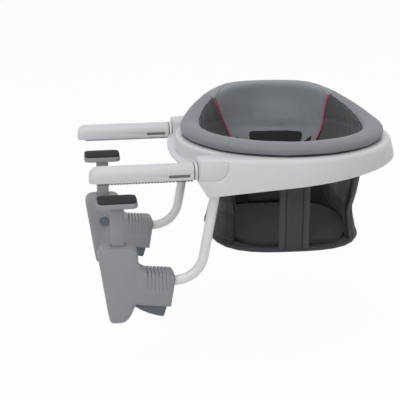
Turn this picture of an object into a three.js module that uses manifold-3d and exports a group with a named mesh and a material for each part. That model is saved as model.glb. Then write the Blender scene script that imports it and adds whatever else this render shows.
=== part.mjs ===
// Hook-on table chair: a child's seat that hangs on a table edge and turns on a ring.
// Millimetres, +Z up. The origin is the middle of the table edge, on the plane of the table top.
// +X runs from the table to the chair, +Y along the edge. The table itself is left out.
import * as THREE from 'three';
import { mergeVertices } from 'three/addons/utils/BufferGeometryUtils.js';
import Module from 'manifold-3d';

const wasm = await Module();
wasm.setup();

// Fits
const FIT = 0.3; // gap between pieces that are seated on each other
const SLIP = 0.4; // gap between pieces that turn or slide in each other
const TABLE_THICKNESS = 25; // the table top that the clamps grip
const TABLE_DROP = 4.2; // table top below the datum that all heights here are measured from

// Upper arms
const ARM_SPACING = 281.4; // between the two arms' centre lines
const ARM_REACH = 162; // table edge to arm tip
const ARM_WIDTH = 31;
const ARM_TOP = 21.2; // highest line of the arm
const ARM_SIDE = 9.3; // upper end of the upright part of its sides
const ARM_ROOT = 4; // table edge to the shell's root end
const ARM_TIP_ROUND = 13;
const ARM_SLOT_LENGTH = 33;
const ARM_SLOT_HEIGHT = 4.5;
const ARM_SLOT_Z = 4.6; // its middle line
const ARM_SLOT_DEPTH = 4;
const ARM_SLOT_SETBACK = 6; // slot's end from the shell's root
const PAD_THICKNESS = 1.8;
const PAD_INSET = 1; // pad's edge inside the shell's side
const PAD_TEETH = 16;
const PAD_TOOTH_DEPTH = 3.5;
const CORE_RADIUS = 8;
const CORE_HEIGHT = 11.5; // axis above the datum
const CORE_IN_ARM = 136; // length held in the arm's shell
const CORE_IN_FRAME = 40; // length held in the shoulder
const COLLAR_GAP = 0.8;

// Frame
const RIDGE_RADIUS = 180; // outer edge of the deck
const DRUM_STEP = 4; // front wall between the arms, inside the ridge
const DRUM_OVERHANG = 10; // that wall past the table edge
const DECK_WIDTH = 24; // ridge to the hole in the deck
const INNER_WALL = 4;
const INNER_WALL_DEPTH = 20.5;
const DECK_TOP = 28.5;
const WALL = 3;
const WALL_FLARE = 6; // foot of the wall outside its ridge
const HEM_FRONT = -28.5;
const HEM_BACK = 0;
const SHOULDER_FACE = 2.6; // table edge to the shoulder's face
const SHOULDER_WIDTH = 34;
const SIDE_CROWN = 0.5; // bow of the wall between shoulder and ring
const SHOULDER_DROP = 8; // upright part of the face below the datum
const SHOULDER_SLANT = 12.5; // how far the face then leans back
const BOSS_WALL = 3.3;
const LIP_OVERHANG = 20.5; // front lip past the table edge
const LIP_RADIUS = 442;
const LIP_BOTTOM = 1.2;
const LIP_THICKNESS = 3;
const COVER_LENGTH = 44;
const COVER_BOTTOM = -3;
const COVER_TOP = 25;
const COVER_ROUND = 20;
const COVER_DEPTH = 1.8;
const GLIDE_THICKNESS = 1.8;
const BASE_PLATE = 2.5;
const INDEX_STOPS = 4;

// Clamp tube
const TUBE_RADIUS = 8;
const TUBE_WALL = 2;
const TUBE_X = 30; // socket's axis from the table edge
const TUBE_TOP = -4;
const TUBE_STUB = -32; // where the upright stub ends
const TUBE_LEAN = 10; // degrees that the leg leans to the table
const TUBE_BEND = 45;
const TUBE_DEPTH = 21.5; // handle's top to the axis of the level end
const TUBE_SETBACK = 7; // barrel to the tube's end
const SOCKET_BOTTOM = -25;
const BUSH_WALL = 1.8;

// Clamp housing
const BARREL_TOP = -104;
const BARREL_FOOT = -228;
const BARREL_BACK = -152;
const BARREL_FRONT = -91;
const BARREL_TAPER = 14; // how far its back edge leans in at the foot
const FOOT_BACK = 22; // flat of the foot, from the barrel's back
const FOOT_LENGTH = 11;
const HEEL_STEP = 8; // where its front edge turns to the foot
const HEEL_HEIGHT = 22;
const HANDLE_TOP = -145.5;
const HANDLE_SLOPE = 2.8; // fall of its top
const HANDLE_END = -33.5;
const HANDLE_LEAN = 7.5; // how far its end face leans in at the foot
const HANDLE_FOOT = -206;
const BARREL_HALF = 19; // half its thickness along Y
const HANDLE_HALF = BARREL_HALF; // the handle lies flush with the barrel
const HOUSING_WALL = 3.2;
const HOUSING_EDGE = 6; // rounding of its edges
const BARREL_ROUND = 16; // its upper corners
const RIB_COUNT = 7;
const RIB_PITCH = 5.7;
const RIB_GROOVE = 1.7;
const RIB_DEPTH = 0.8;
const POST_OFFSET = 31; // barrel's back to the post's middle
const POST_LENGTH = 123;
const POST_WIDTH = 20;
const POST_DEPTH = 16;
const JAW_LENGTH = 62;
const JAW_WIDTH = 38;
const JAW_HEAD = 8.2;
const JAW_PAD = 4.5;
const JAW_SEAT = 4; // post's top in the head
const PIVOT_HEIGHT = 10; // trigger's pin above the handle's foot
const TRIGGER_LENGTH = 46;
const PIN_RADIUS = 2;
const TRIGGER_HALF = 8.6;
const HUB_HALF = 5;
const TRIGGER_SWEEP = 10; // degrees
const PLATE_RISE = 12; // grip plate above the pin
const PLATE_THICKNESS = 3;
const BUTTON_DEPTH = 46; // below the barrel's top
const BUTTON_RADIUS = 8;
const BUTTON_STEM = 3;
const BUTTON_PROUD = 2.2;
const BUTTON_TRAVEL = 2;

// Seat
const SEAT_TURN = -2.5; // degrees from square, as photographed
const FLANGE_LAP = 5; // flange over the deck
const FLANGE_WIDTH = 21;
const FLANGE_THICKNESS = 3;
const SKIRT_WALL = 4.5; // turntable's own skirt
const RETAINER = 3.4;
const RIM_OVERHANG = 7; // rim outside the flange
const RIM_WIDTH = 35;
const RIM_FRONT = 48.5; // top of the rim at the front
const RIM_BACK = 90.4; // the same at the back
const RIM_RISE_START = 90; // it rises between these, degrees from the back
const RIM_RISE_END = 23;
const BACK_TOP_ANGLE = 49; // half the back pad's width, degrees
const BACK_LOW_ANGLE = 16; // the same at the board
const SEAM_GAP = 0.45; // beside the back pad, degrees
const BACK_FULL_HEIGHT = 73.5; // where it is at its widest
const RIM_INNER_FACE = 17.5; // height of the rim's inner face at the front
const RIM_BACK_FACE = 4.5; // the same at the back
const RIM_FACE_START = 110; // it shrinks between these, degrees from the back
const RIM_FACE_END = 65;
const TUB_HALF_WIDTH = 124.5; // at the seat board
const TUB_HALF_DEPTH = 126;
const TUB_SQUARE = 3; // how square the board's plan is
const TUB_BOTTOM = -138;
const TUB_NECK_TOP = 25; // between these heights it narrows from the ring to the board's plan
const TUB_NECK_FOOT = -38;
const TUB_PINCH = 15.5; // how far the sides are drawn in
const PINCH_HEIGHT = -81;
const PINCH_ABOVE = 21; // how far that reaches up and down
const PINCH_BELOW = 34;
const CLOTH = 2.5;
const LINING_GAP = 1.4; // between the cloth and the padding
const PAD_BAND = 9.5; // thickness of the back pad in the tub
const SIDE_BAND = 7;
const LEG_ANGLE = 136; // where the leg openings start, degrees from the back
const CROTCH_WIDTH = 48;
const PIPING_RADIUS = 2.2;
const BOARD = 10;
const CUSHION_CROWN = 6;
const PATCH_ANGLE = 21;
const PATCH_TOP = 4.5;
const PATCH_BOTTOM = -22;
const PATCH = 4;
const STRAP_WIDTH = 25;
const STRAP = 2;
const STRAP_ANGLE = 31; // where it leaves the wall, degrees from the back
const STRAP_Z = -16.5; // its middle there
const BUCKLE = [46, 34, 13];
const BUCKLE_Z = -52.5;
const BUCKLE_BUTTON = [18, 15, 5];
const BUCKLE_TRAVEL = 2;
const LEVER_LENGTH = 20.5;
const LEVER_PIN_RADIUS = 2;
const LEVER_PIN_Z = -3;
const LEVER_HALF = 18;
const PADDLE_DROP = 0.8; // paddle's top below the pin's axis
const INDEX_PIN_OFFSET = 12; // from the lever's pin
const INDEX_PIN_RADIUS = 3;

// Values that follow from them
const DRUM_RADIUS = RIDGE_RADIUS - DRUM_STEP;
const RING_X = DRUM_RADIUS - DRUM_OVERHANG; // seat's turning axis from the table edge
const OPENING_RADIUS = RIDGE_RADIUS - DECK_WIDTH;
const FLANGE_OUTER = OPENING_RADIUS + FLANGE_LAP;
const FLANGE_INNER = FLANGE_OUTER - FLANGE_WIDTH;
const RIM_OUTER = FLANGE_OUTER + RIM_OVERHANG;
const RIM_INNER = RIM_OUTER - RIM_WIDTH;
const ARM_Y = ARM_SPACING / 2;
const ARM_HALF = ARM_WIDTH / 2;
const SHELL_BOTTOM = PAD_THICKNESS + FIT - TABLE_DROP;
const JAW_LEVEL = -TABLE_DROP - TABLE_THICKNESS;
const TUBE_LOW = HANDLE_TOP - TUBE_DEPTH;
const TUBE_END = BARREL_FRONT + TUBE_SETBACK;
const POST_X = BARREL_BACK + POST_OFFSET;
const PIVOT_X = BARREL_FRONT - 1;
const PIVOT_Z = HANDLE_FOOT + PIVOT_HEIGHT;
const PLATE_Z = PIVOT_Z + PLATE_RISE;
const BUTTON_Z = BARREL_TOP - BUTTON_DEPTH;
const BEYOND = 1000; // longer than anything it cuts
const CORE_BORE = CORE_RADIUS + FIT;
const GLIDE_TOP = DECK_TOP + FIT + GLIDE_THICKNESS;
const FLANGE_BOTTOM = GLIDE_TOP + SLIP;
const FLANGE_TOP = FLANGE_BOTTOM + FLANGE_THICKNESS;
const INNER_WALL_FOOT = DECK_TOP - INNER_WALL_DEPTH;
const SKIRT_OUTER = OPENING_RADIUS - 2.5;
const SKIRT_INNER = SKIRT_OUTER - SKIRT_WALL;
const TUB_RADIUS = SKIRT_INNER - 2 * SLIP;
const LEVER_PIN_R = SKIRT_OUTER;
const LEVER_REACH = LEVER_PIN_R + LEVER_LENGTH;
const INDEX_PIN_R = LEVER_PIN_R + INDEX_PIN_OFFSET;
const BOARD_TOP = TUB_BOTTOM + BOARD;
const RIM_SEAT = FLANGE_TOP + FIT;
const rad = THREE.MathUtils.degToRad;

// Materials
const white = new THREE.MeshStandardMaterial({ color: 0xd6d7da, roughness: 0.45, metalness: 0 });
const steel = new THREE.MeshStandardMaterial({ color: 0x9a9da2, roughness: 0.35, metalness: 1 });
const paintedSteel = new THREE.MeshStandardMaterial({ color: 0xe4e4e8, roughness: 0.35, metalness: 0 });
const rubber = new THREE.MeshStandardMaterial({ color: 0x55575a, roughness: 0.9, metalness: 0 });
const acetal = new THREE.MeshStandardMaterial({ color: 0x3c3d40, roughness: 0.4, metalness: 0 });
const greyPlastic = new THREE.MeshStandardMaterial({ color: 0x8c8e93, roughness: 0.5, metalness: 0 });
const slatePlastic = new THREE.MeshStandardMaterial({ color: 0x5f6670, roughness: 0.5, metalness: 0 });
const rimCover = new THREE.MeshStandardMaterial({ color: 0x808289, roughness: 0.6, metalness: 0 });
const backCover = new THREE.MeshStandardMaterial({ color: 0x74787e, roughness: 0.65, metalness: 0 });
const meshCover = new THREE.MeshStandardMaterial({ color: 0x46484a, roughness: 0.9, metalness: 0 });
const redCord = new THREE.MeshStandardMaterial({ color: 0xaa3c50, roughness: 0.7, metalness: 0 });
const charcoal = new THREE.MeshStandardMaterial({ color: 0x333539, roughness: 0.9, metalness: 0 });
const black = new THREE.MeshStandardMaterial({ color: 0x1c1e1d, roughness: 0.85, metalness: 0 });

// Shape helpers
function piece(parent, name, geometry, material) {
  const mesh = new THREE.Mesh(geometry, material);
  mesh.name = name;
  parent.add(mesh);
}

function signedVolume(points, triangles) {
  let sum = 0;
  const normal = new THREE.Vector3();
  for (const [a, b, c] of triangles) {
    sum += points[a].dot(normal.crossVectors(points[b], points[c]));
  }
  return sum / 6;
}

function loopArea(outline) {
  return THREE.ShapeUtils.area(outline);
}

// A skin over sections of equal point count. Without a cap outline the last section joins the first.
function loft(sections, capOutline) {
  const count = sections[0].length;
  const triangles = [];
  const spans = capOutline ? sections.length - 1 : sections.length;
  for (let s = 0; s < spans; s++) {
    const here = s * count;
    const next = ((s + 1) % sections.length) * count;
    for (let i = 0; i < count; i++) {
      const j = (i + 1) % count;
      triangles.push([here + i, here + j, next + j], [here + i, next + j, next + i]);
    }
  }
  if (capOutline) {
    const end = (sections.length - 1) * count;
    const sense = Math.sign(loopArea(capOutline));
    for (const [a, b, c] of THREE.ShapeUtils.triangulateShape(capOutline, [])) {
      const same = Math.sign(loopArea([capOutline[a], capOutline[b], capOutline[c]])) === sense;
      const [p, q] = same ? [b, c] : [c, b];
      triangles.push([a, q, p], [end + a, end + p, end + q]);
    }
  }
  const points = sections.flat();
  if (signedVolume(points, triangles) < 0) triangles.forEach((t) => t.reverse());
  const geometry = new THREE.BufferGeometry();
  geometry.setAttribute('position', new THREE.Float32BufferAttribute(points.flatMap((p) => p.toArray()), 3));
  geometry.setIndex(triangles.flat());
  return geometry;
}

function solidOf(geometry) {
  const bare = geometry.clone();
  bare.deleteAttribute('normal');
  bare.deleteAttribute('uv');
  const merged = mergeVertices(bare, 1e-4);
  return new wasm.Manifold(new wasm.Mesh({
    numProp: 3,
    vertProperties: Float32Array.from(merged.attributes.position.array),
    triVerts: Uint32Array.from(merged.index.array),
  }));
}

function geometryOf(solid) {
  const mesh = solid.getMesh();
  const geometry = new THREE.BufferGeometry();
  geometry.setAttribute('position', new THREE.BufferAttribute(Float32Array.from(mesh.vertProperties), 3));
  geometry.setIndex(new THREE.BufferAttribute(Uint32Array.from(mesh.triVerts), 1));
  return geometry;
}

function box(x0, x1, y0, y1, z0, z1) {
  const geometry = new THREE.BoxGeometry(x1 - x0, y1 - y0, z1 - z0);
  return geometry.translate((x0 + x1) / 2, (y0 + y1) / 2, (z0 + z1) / 2);
}

// Rods along each axis, from one end to the other
function rodX(radius, from, to, y, z, sides = 16) {
  const geometry = new THREE.CylinderGeometry(radius, radius, to - from, sides).rotateZ(Math.PI / 2);
  return geometry.translate((from + to) / 2, y, z);
}

function rodY(radius, from, to, x, z, sides = 14) {
  const geometry = new THREE.CylinderGeometry(radius, radius, to - from, sides);
  return geometry.translate(x, (from + to) / 2, z);
}

function rodZ(radius, from, to, x, y, sides = 16) {
  const geometry = new THREE.CylinderGeometry(radius, radius, to - from, sides).rotateX(Math.PI / 2);
  return geometry.translate(x, y, (from + to) / 2);
}

// A closed [radius, height] loop turned about Z
function turned(loop, segments = 40) {
  const points = [...loop, loop[0]].map(([r, z]) => new THREE.Vector2(r, z));
  return new THREE.LatheGeometry(points, segments).rotateX(Math.PI / 2);
}

// An outline in X and Z, pushed through Y between two planes, with a bevel inside its size
function slab(outline, y0, y1, bevel = 0) {
  const points = () => outline.map(([x, z]) => new THREE.Vector2(x, z));
  const shape = outline instanceof THREE.Shape ? outline : new THREE.Shape(points());
  const settings = { depth: y1 - y0 - 2 * bevel, curveSegments: 4, bevelEnabled: bevel > 0 };
  if (bevel > 0) {
    const rounding = { bevelThickness: bevel, bevelSize: bevel, bevelOffset: -bevel, bevelSegments: 2 };
    Object.assign(settings, rounding);
  }
  return new THREE.ExtrudeGeometry(shape, settings).rotateX(Math.PI / 2).translate(0, y1 - bevel, 0);
}

function smooth(t) {
  const u = THREE.MathUtils.clamp(t, 0, 1);
  return u * u * (3 - 2 * u);
}

// Frame outline in plan. `out` grows its outer side, `front` the faces between and around the arms.
function frameOutline(out, front) {
  const points = [];
  const radius = RIDGE_RADIUS + out;
  const corner = new THREE.Vector2(SHOULDER_FACE - front, ARM_Y + SHOULDER_WIDTH / 2 + out);
  const toCorner = new THREE.Vector2(corner.x - RING_X, corner.y);
  const touch = toCorner.angle() - Math.acos(radius / toCorner.length());
  const tangent = new THREE.Vector2(RING_X + radius * Math.cos(touch), radius * Math.sin(touch));
  const sideSteps = 4;
  const backSteps = 28;
  const frontSteps = 16;
  const side = Array.from({ length: sideSteps }, (_, i) => {
    const p = corner.clone().lerp(tangent, i / sideSteps);
    return { x: p.x, y: p.y + SIDE_CROWN * Math.sin((Math.PI * i) / sideSteps) };
  });
  for (const p of side) points.push({ x: p.x, y: -p.y, hem: true });
  for (let i = 0; i <= backSteps; i++) {
    const a = -touch + (2 * touch * i) / backSteps;
    points.push({ x: RING_X + radius * Math.cos(a), y: radius * Math.sin(a), hem: true });
  }
  for (const p of side.reverse()) points.push({ x: p.x, y: p.y, hem: true });
  const inner = ARM_Y - SHOULDER_WIDTH / 2 - front;
  const drum = DRUM_RADIUS + front;
  const meet = Math.PI - Math.asin(inner / drum);
  points.push({ x: SHOULDER_FACE - front, y: inner, hem: true });
  for (let i = 0; i <= frontSteps; i++) {
    const a = meet + (2 * (Math.PI - meet) * i) / frontSteps;
    points.push({ x: RING_X + drum * Math.cos(a), y: drum * Math.sin(a), hem: false });
  }
  points.push({ x: SHOULDER_FACE - front, y: -inner, hem: true });
  return points;
}

// Foot of the frame's wall: deep at the shoulders, shallow at the back
function hemHeight(point) {
  if (!point.hem) return LIP_BOTTOM;
  const start = SHOULDER_FACE + SHOULDER_SLANT;
  const end = RING_X + RIDGE_RADIUS + WALL_FLARE;
  const t = THREE.MathUtils.clamp((point.x - start) / (end - start), 0, 1);
  return HEM_BACK + (HEM_FRONT - HEM_BACK) * (1 - t) ** 1.5;
}

// The frame as one block, grown all round by `grow`; a block with a floor is level at its foot
function frameBlock(grow, floor) {
  const rounds = [[0, -8, -4], [0.8, -4, -1.6], [3, -1.2, -0.4], [7.5, 0.5, 0]];
  const sections = rounds.map(([drop, out, front]) => {
    const outline = frameOutline(out + grow, front + grow);
    return outline.map((p) => new THREE.Vector3(p.x, p.y, DECK_TOP + grow - drop));
  });
  const foot = frameOutline(WALL_FLARE + grow, grow);
  sections.push(foot.map((p) => new THREE.Vector3(p.x, p.y, floor ?? hemHeight(p) - Math.max(grow, 0))));
  return solidOf(loft(sections, foot.map((p) => new THREE.Vector2(p.x, p.y))));
}

// Front lip that lies over the table edge
function lipPlate() {
  const half = ARM_Y - SHOULDER_WIDTH / 2 - 0.5;
  const steps = 14;
  const shape = new THREE.Shape();
  for (let i = 0; i <= steps; i++) {
    const y = -half + (2 * half * i) / steps;
    const x = LIP_RADIUS - LIP_OVERHANG - Math.sqrt(LIP_RADIUS ** 2 - y ** 2);
    if (i === 0) shape.moveTo(x, y);
    else shape.lineTo(x, y);
  }
  const back = DRUM_RADIUS - WALL / 2;
  for (let i = 0; i <= steps; i++) {
    const y = half - (2 * half * i) / steps;
    shape.lineTo(RING_X - Math.sqrt(back ** 2 - y ** 2), y);
  }
  const geometry = new THREE.ExtrudeGeometry(shape, { depth: LIP_THICKNESS, bevelEnabled: false });
  return solidOf(geometry.translate(0, 0, LIP_BOTTOM));
}

// Side view of a shoulder's cover, with its one round corner, pushed through the shoulder's outer side
function coverPrism(side, inset) {
  const left = SHOULDER_FACE + 1 + inset;
  const right = SHOULDER_FACE + COVER_LENGTH - inset;
  const low = COVER_BOTTOM + inset;
  const high = COVER_TOP - inset;
  const round = COVER_ROUND - inset;
  const shape = new THREE.Shape();
  shape.moveTo(left, low);
  shape.lineTo(right - round, low);
  shape.absarc(right - round, low + round, round, -Math.PI / 2, 0, false);
  shape.lineTo(right, high);
  shape.lineTo(left, high);
  const near = ARM_Y + 9;
  const far = ARM_Y + SHOULDER_WIDTH;
  return solidOf(slab(shape, side < 0 ? -far : near, side < 0 ? -near : far));
}

const socketBore = TUBE_RADIUS + SLIP + BUSH_WALL + FIT;

function frameShell() {
  const deckFloor = DECK_TOP - WALL;
  const cavityFloor = HEM_FRONT - 40;
  const innerRing = solidOf(rodZ(OPENING_RADIUS + INNER_WALL, INNER_WALL_FOOT, DECK_TOP + 1, RING_X, 0, 48));
  const cavity = frameBlock(-WALL, cavityFloor).subtract(innerRing);
  let shell = frameBlock(0).subtract(cavity).add(lipPlate());
  for (const side of [-1, 1]) {
    const y = side * ARM_Y;
    const bossEnd = SHOULDER_FACE + CORE_IN_FRAME + BOSS_WALL;
    const coreBoss = solidOf(rodX(CORE_BORE + BOSS_WALL, SHOULDER_FACE + 1, bossEnd, y, CORE_HEIGHT));
    const bossTop = CORE_HEIGHT - CORE_BORE;
    const socketBoss = solidOf(rodZ(socketBore + BOSS_WALL, SOCKET_BOTTOM, bossTop, TUBE_X, y));
    shell = shell.add(coreBoss).add(socketBoss);
    const coreEnd = SHOULDER_FACE + CORE_IN_FRAME + FIT;
    shell = shell.subtract(solidOf(rodX(CORE_BORE, SHOULDER_FACE - 5, coreEnd, y, CORE_HEIGHT)));
    shell = shell.subtract(solidOf(rodZ(socketBore, SOCKET_BOTTOM - 5, TUBE_TOP + FIT, TUBE_X, y)));
    shell = shell.subtract(coverPrism(side, 0).subtract(frameBlock(-COVER_DEPTH, cavityFloor)));
  }
  shell = shell.subtract(solidOf(rodZ(OPENING_RADIUS, -BEYOND, BEYOND, RING_X, 0, 48)));
  const slantTop = SHOULDER_FACE;
  const slantFoot = SHOULDER_FACE + SHOULDER_SLANT;
  const wedge = [[-BEYOND, -SHOULDER_DROP], [slantTop, -SHOULDER_DROP], [slantFoot, HEM_FRONT],
    [slantFoot, -BEYOND], [-BEYOND, -BEYOND]];
  shell = shell.subtract(solidOf(slab(wedge, -BEYOND, BEYOND)));
  return geometryOf(shell);
}

function shoulderCover(side) {
  const outer = frameBlock(0.2, HEM_FRONT - 40);
  const inner = frameBlock(FIT - COVER_DEPTH, HEM_FRONT - 50);
  return geometryOf(coverPrism(side, FIT).intersect(outer).subtract(inner));
}

// Plate under the ring with the pockets that the index pin finds
function basePlate() {
  const top = INNER_WALL_FOOT - FIT;
  const low = top - BASE_PLATE;
  const inner = OPENING_RADIUS + INNER_WALL - 0.6;
  const outer = DRUM_RADIUS - WALL - 0.6;
  let plate = solidOf(turned([[inner, low], [outer, low], [outer, top], [inner, top]]));
  for (let i = 0; i < INDEX_STOPS; i++) {
    const a = rad(90 + SEAT_TURN + (360 * i) / INDEX_STOPS);
    const at = [INDEX_PIN_R * Math.cos(a), INDEX_PIN_R * Math.sin(a)];
    const hole = rodZ(INDEX_PIN_RADIUS + 0.6, low - 1, top + 1, ...at, 12);
    plate = plate.subtract(solidOf(hole));
  }
  return geometryOf(plate).translate(RING_X, 0, 0);
}

function glideRing() {
  const low = DECK_TOP + FIT;
  const inner = SKIRT_OUTER + 1;
  const outer = FLANGE_OUTER + 0.4;
  return turned([[inner, low], [outer, low], [outer, GLIDE_TOP], [inner, GLIDE_TOP]]).translate(RING_X, 0, 0);
}

// Section of an arm at x: flat below, upright sides, round top; `width` and `height` shrink it at the tip
function armSection(x, y, width, height) {
  const steps = 8;
  const half = ARM_HALF * width;
  const side = SHELL_BOTTOM + (ARM_SIDE - SHELL_BOTTOM) * height;
  const rise = (ARM_TOP - ARM_SIDE) * height;
  const section = [-half, half].map((across) => new THREE.Vector3(x, y + across, SHELL_BOTTOM));
  for (let i = 0; i <= steps; i++) {
    const a = (Math.PI * i) / steps;
    section.push(new THREE.Vector3(x, y + half * Math.cos(a), side + rise * Math.sin(a)));
  }
  return section;
}

function armLoft(sections) {
  return solidOf(loft(sections, sections[0].map((p) => new THREE.Vector2(p.y, p.z))));
}

function armShell(side) {
  const y = side * ARM_Y;
  const tipSteps = 5;
  const sections = [];
  for (let i = 0; i <= tipSteps; i++) {
    const t = 1 - Math.cos((Math.PI / 2) * (i / tipSteps));
    const swell = Math.sin((Math.PI / 2) * (i / tipSteps));
    sections.push(armSection(-ARM_REACH + ARM_TIP_ROUND * t, y, 0.45 + 0.55 * swell, 0.42 + 0.58 * swell));
  }
  sections.push(armSection(-ARM_ROOT, y, 1, 1));
  let shell = armLoft(sections);
  shell = shell.subtract(solidOf(rodX(CORE_BORE, -ARM_ROOT - CORE_IN_ARM - FIT, 0, y, CORE_HEIGHT)));
  const slotEnd = -ARM_ROOT - ARM_SLOT_SETBACK;
  const reach = ARM_SLOT_HEIGHT / 2;
  const slot = new THREE.Shape();
  slot.absarc(slotEnd - reach, ARM_SLOT_Z, reach, -Math.PI / 2, Math.PI / 2, false);
  slot.absarc(slotEnd - ARM_SLOT_LENGTH + reach, ARM_SLOT_Z, reach, Math.PI / 2, 1.5 * Math.PI, false);
  for (const face of [-1, 1]) {
    const floor = ARM_HALF - ARM_SLOT_DEPTH;
    const low = face < 0 ? y - ARM_HALF - 2 : y + floor;
    const high = face < 0 ? y - floor : y + ARM_HALF + 2;
    shell = shell.subtract(solidOf(slab(slot, low, high)));
  }
  return geometryOf(shell);
}

function armCollar(side) {
  const y = side * ARM_Y;
  const from = -ARM_ROOT + COLLAR_GAP;
  const to = SHOULDER_FACE - COLLAR_GAP;
  const ring = armLoft([armSection(from, y, 1, 1), armSection(to, y, 1, 1)]);
  return geometryOf(ring.subtract(solidOf(rodX(CORE_BORE, from - 1, to + 1, y, CORE_HEIGHT))));
}

// Rubber pad with notched long edges; the middle stays flat
function armPad(side) {
  const y = side * ARM_Y;
  const half = ARM_HALF - PAD_INSET;
  const start = -ARM_REACH + ARM_TIP_ROUND;
  const pitch = (-ARM_ROOT - COLLAR_GAP - start) / PAD_TEETH;
  const edge = [];
  for (let i = 0; i < PAD_TEETH; i++) {
    const x = start + i * pitch;
    const notch = half - PAD_TOOTH_DEPTH;
    edge.push([x, half], [x + pitch * 0.6, half], [x + pitch * 0.6, notch], [x + pitch * 0.98, notch]);
  }
  const far = edge.map(([x, w]) => new THREE.Vector2(x, y + w));
  const near = edge.map(([x, w]) => new THREE.Vector2(x, y - w)).reverse();
  const shape = new THREE.Shape([...near, ...far]);
  const strip = new THREE.ExtrudeGeometry(shape, { depth: PAD_THICKNESS, bevelEnabled: false });
  return strip.translate(0, 0, -TABLE_DROP);
}

const frame = new THREE.Group();
piece(frame, 'frame_shell', frameShell(), white);
piece(frame, 'frame_base_plate', basePlate(), white);
piece(frame, 'glide_ring', glideRing(), acetal);
for (const [name, side] of [['left', -1], ['right', 1]]) {
  const y = side * ARM_Y;
  const coreStart = -ARM_ROOT - CORE_IN_ARM;
  piece(frame, `${name}_shoulder_cover`, shoulderCover(side), white);
  const coreEnd = SHOULDER_FACE + CORE_IN_FRAME;
  const coreRod = solidOf(rodX(CORE_RADIUS, coreStart, coreEnd, y, CORE_HEIGHT));
  const coreHollow = solidOf(rodX(CORE_RADIUS - TUBE_WALL, coreStart - 1, coreEnd + 1, y, CORE_HEIGHT));
  piece(frame, `${name}_arm_core`, geometryOf(coreRod.subtract(coreHollow)), steel);
  piece(frame, `${name}_arm_collar`, armCollar(side), white);
  piece(frame, `${name}_arm_shell`, armShell(side), white);
  piece(frame, `${name}_arm_pad`, armPad(side), rubber);
  const bushInner = TUBE_RADIUS + SLIP;
  const bushOuter = bushInner + BUSH_WALL;
  const bushTop = TUBE_TOP - FIT;
  const bush = [[bushInner, SOCKET_BOTTOM], [bushOuter, SOCKET_BOTTOM],
    [bushOuter, bushTop], [bushInner, bushTop]];
  piece(frame, `${name}_socket_bush`, turned(bush, 16).translate(TUBE_X, y, 0), acetal);
}

// The clamp tube's run in the plane y = 0: upright stub, leaning leg, bend, level end in the handle
function bentRod(radius, beyond) {
  const lean = rad(TUBE_LEAN);
  const turn = Math.PI / 2 - lean;
  const legTop = new THREE.Vector3(TUBE_X, 0, TUBE_STUB);
  const legFootZ = TUBE_LOW + TUBE_BEND * (1 - Math.sin(lean));
  const legFoot = new THREE.Vector3(TUBE_X - (TUBE_STUB - legFootZ) * Math.tan(lean), 0, legFootZ);
  const centre = new THREE.Vector3(legFoot.x - TUBE_BEND * Math.cos(lean), 0, TUBE_LOW + TUBE_BEND);
  const bendSteps = 6;
  const bend = (i) => {
    const a = -lean - (turn * i) / bendSteps;
    return new THREE.Vector3(centre.x + TUBE_BEND * Math.cos(a), 0, centre.z + TUBE_BEND * Math.sin(a));
  };
  const stops = [new THREE.Vector3(TUBE_X, 0, TUBE_TOP + beyond), legTop, legFoot];
  for (let i = 1; i <= bendSteps; i++) stops.push(bend(i));
  stops.push(new THREE.Vector3(TUBE_END - beyond, 0, TUBE_LOW));
  const sides = 12;
  const sections = stops.map((stop, i) => {
    const before = stops[Math.max(i - 1, 0)];
    const after = stops[Math.min(i + 1, stops.length - 1)];
    const along = after.clone().sub(before).normalize();
    const across = new THREE.Vector3(0, 1, 0);
    const up = along.clone().cross(across);
    return Array.from({ length: sides }, (_, k) => {
      const a = (2 * Math.PI * k) / sides;
      const offset = across.clone().multiplyScalar(radius * Math.cos(a));
      return offset.addScaledVector(up, radius * Math.sin(a)).add(stop);
    });
  });
  const disc = Array.from({ length: sides }, (_, k) => {
    const a = (2 * Math.PI * k) / sides;
    return new THREE.Vector2(Math.cos(a), Math.sin(a));
  });
  return solidOf(loft(sections, disc));
}

function clampTube() {
  return geometryOf(bentRod(TUBE_RADIUS, 0).subtract(bentRod(TUBE_RADIUS - TUBE_WALL, 1)));
}

// Side view of the barrel, shrunk by `inset`
function barrelShape(inset) {
  const back = BARREL_BACK + inset;
  const front = BARREL_FRONT - inset;
  const top = BARREL_TOP - inset;
  const foot = BARREL_FOOT + inset;
  const shoulder = BARREL_TOP - BARREL_ROUND;
  const heel = BARREL_FOOT + HEEL_HEIGHT;
  const footBack = BARREL_BACK + FOOT_BACK;
  const shape = new THREE.Shape();
  shape.moveTo(back, shoulder);
  shape.quadraticCurveTo(back, top, back + BARREL_ROUND, top);
  shape.lineTo(front - BARREL_ROUND, top);
  shape.quadraticCurveTo(front, top, front, shoulder);
  shape.lineTo(front, heel + 2 * HEEL_STEP);
  shape.quadraticCurveTo(front - HEEL_STEP / 2, heel + HEEL_STEP, front - HEEL_STEP, heel);
  shape.quadraticCurveTo(front - 2 * HEEL_STEP, foot, footBack + FOOT_LENGTH - inset / 2, foot);
  shape.lineTo(footBack + inset / 2, foot);
  shape.quadraticCurveTo(back + BARREL_TAPER + 1, foot, back + BARREL_TAPER, BARREL_FOOT + HEEL_HEIGHT / 2);
  return shape;
}

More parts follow.
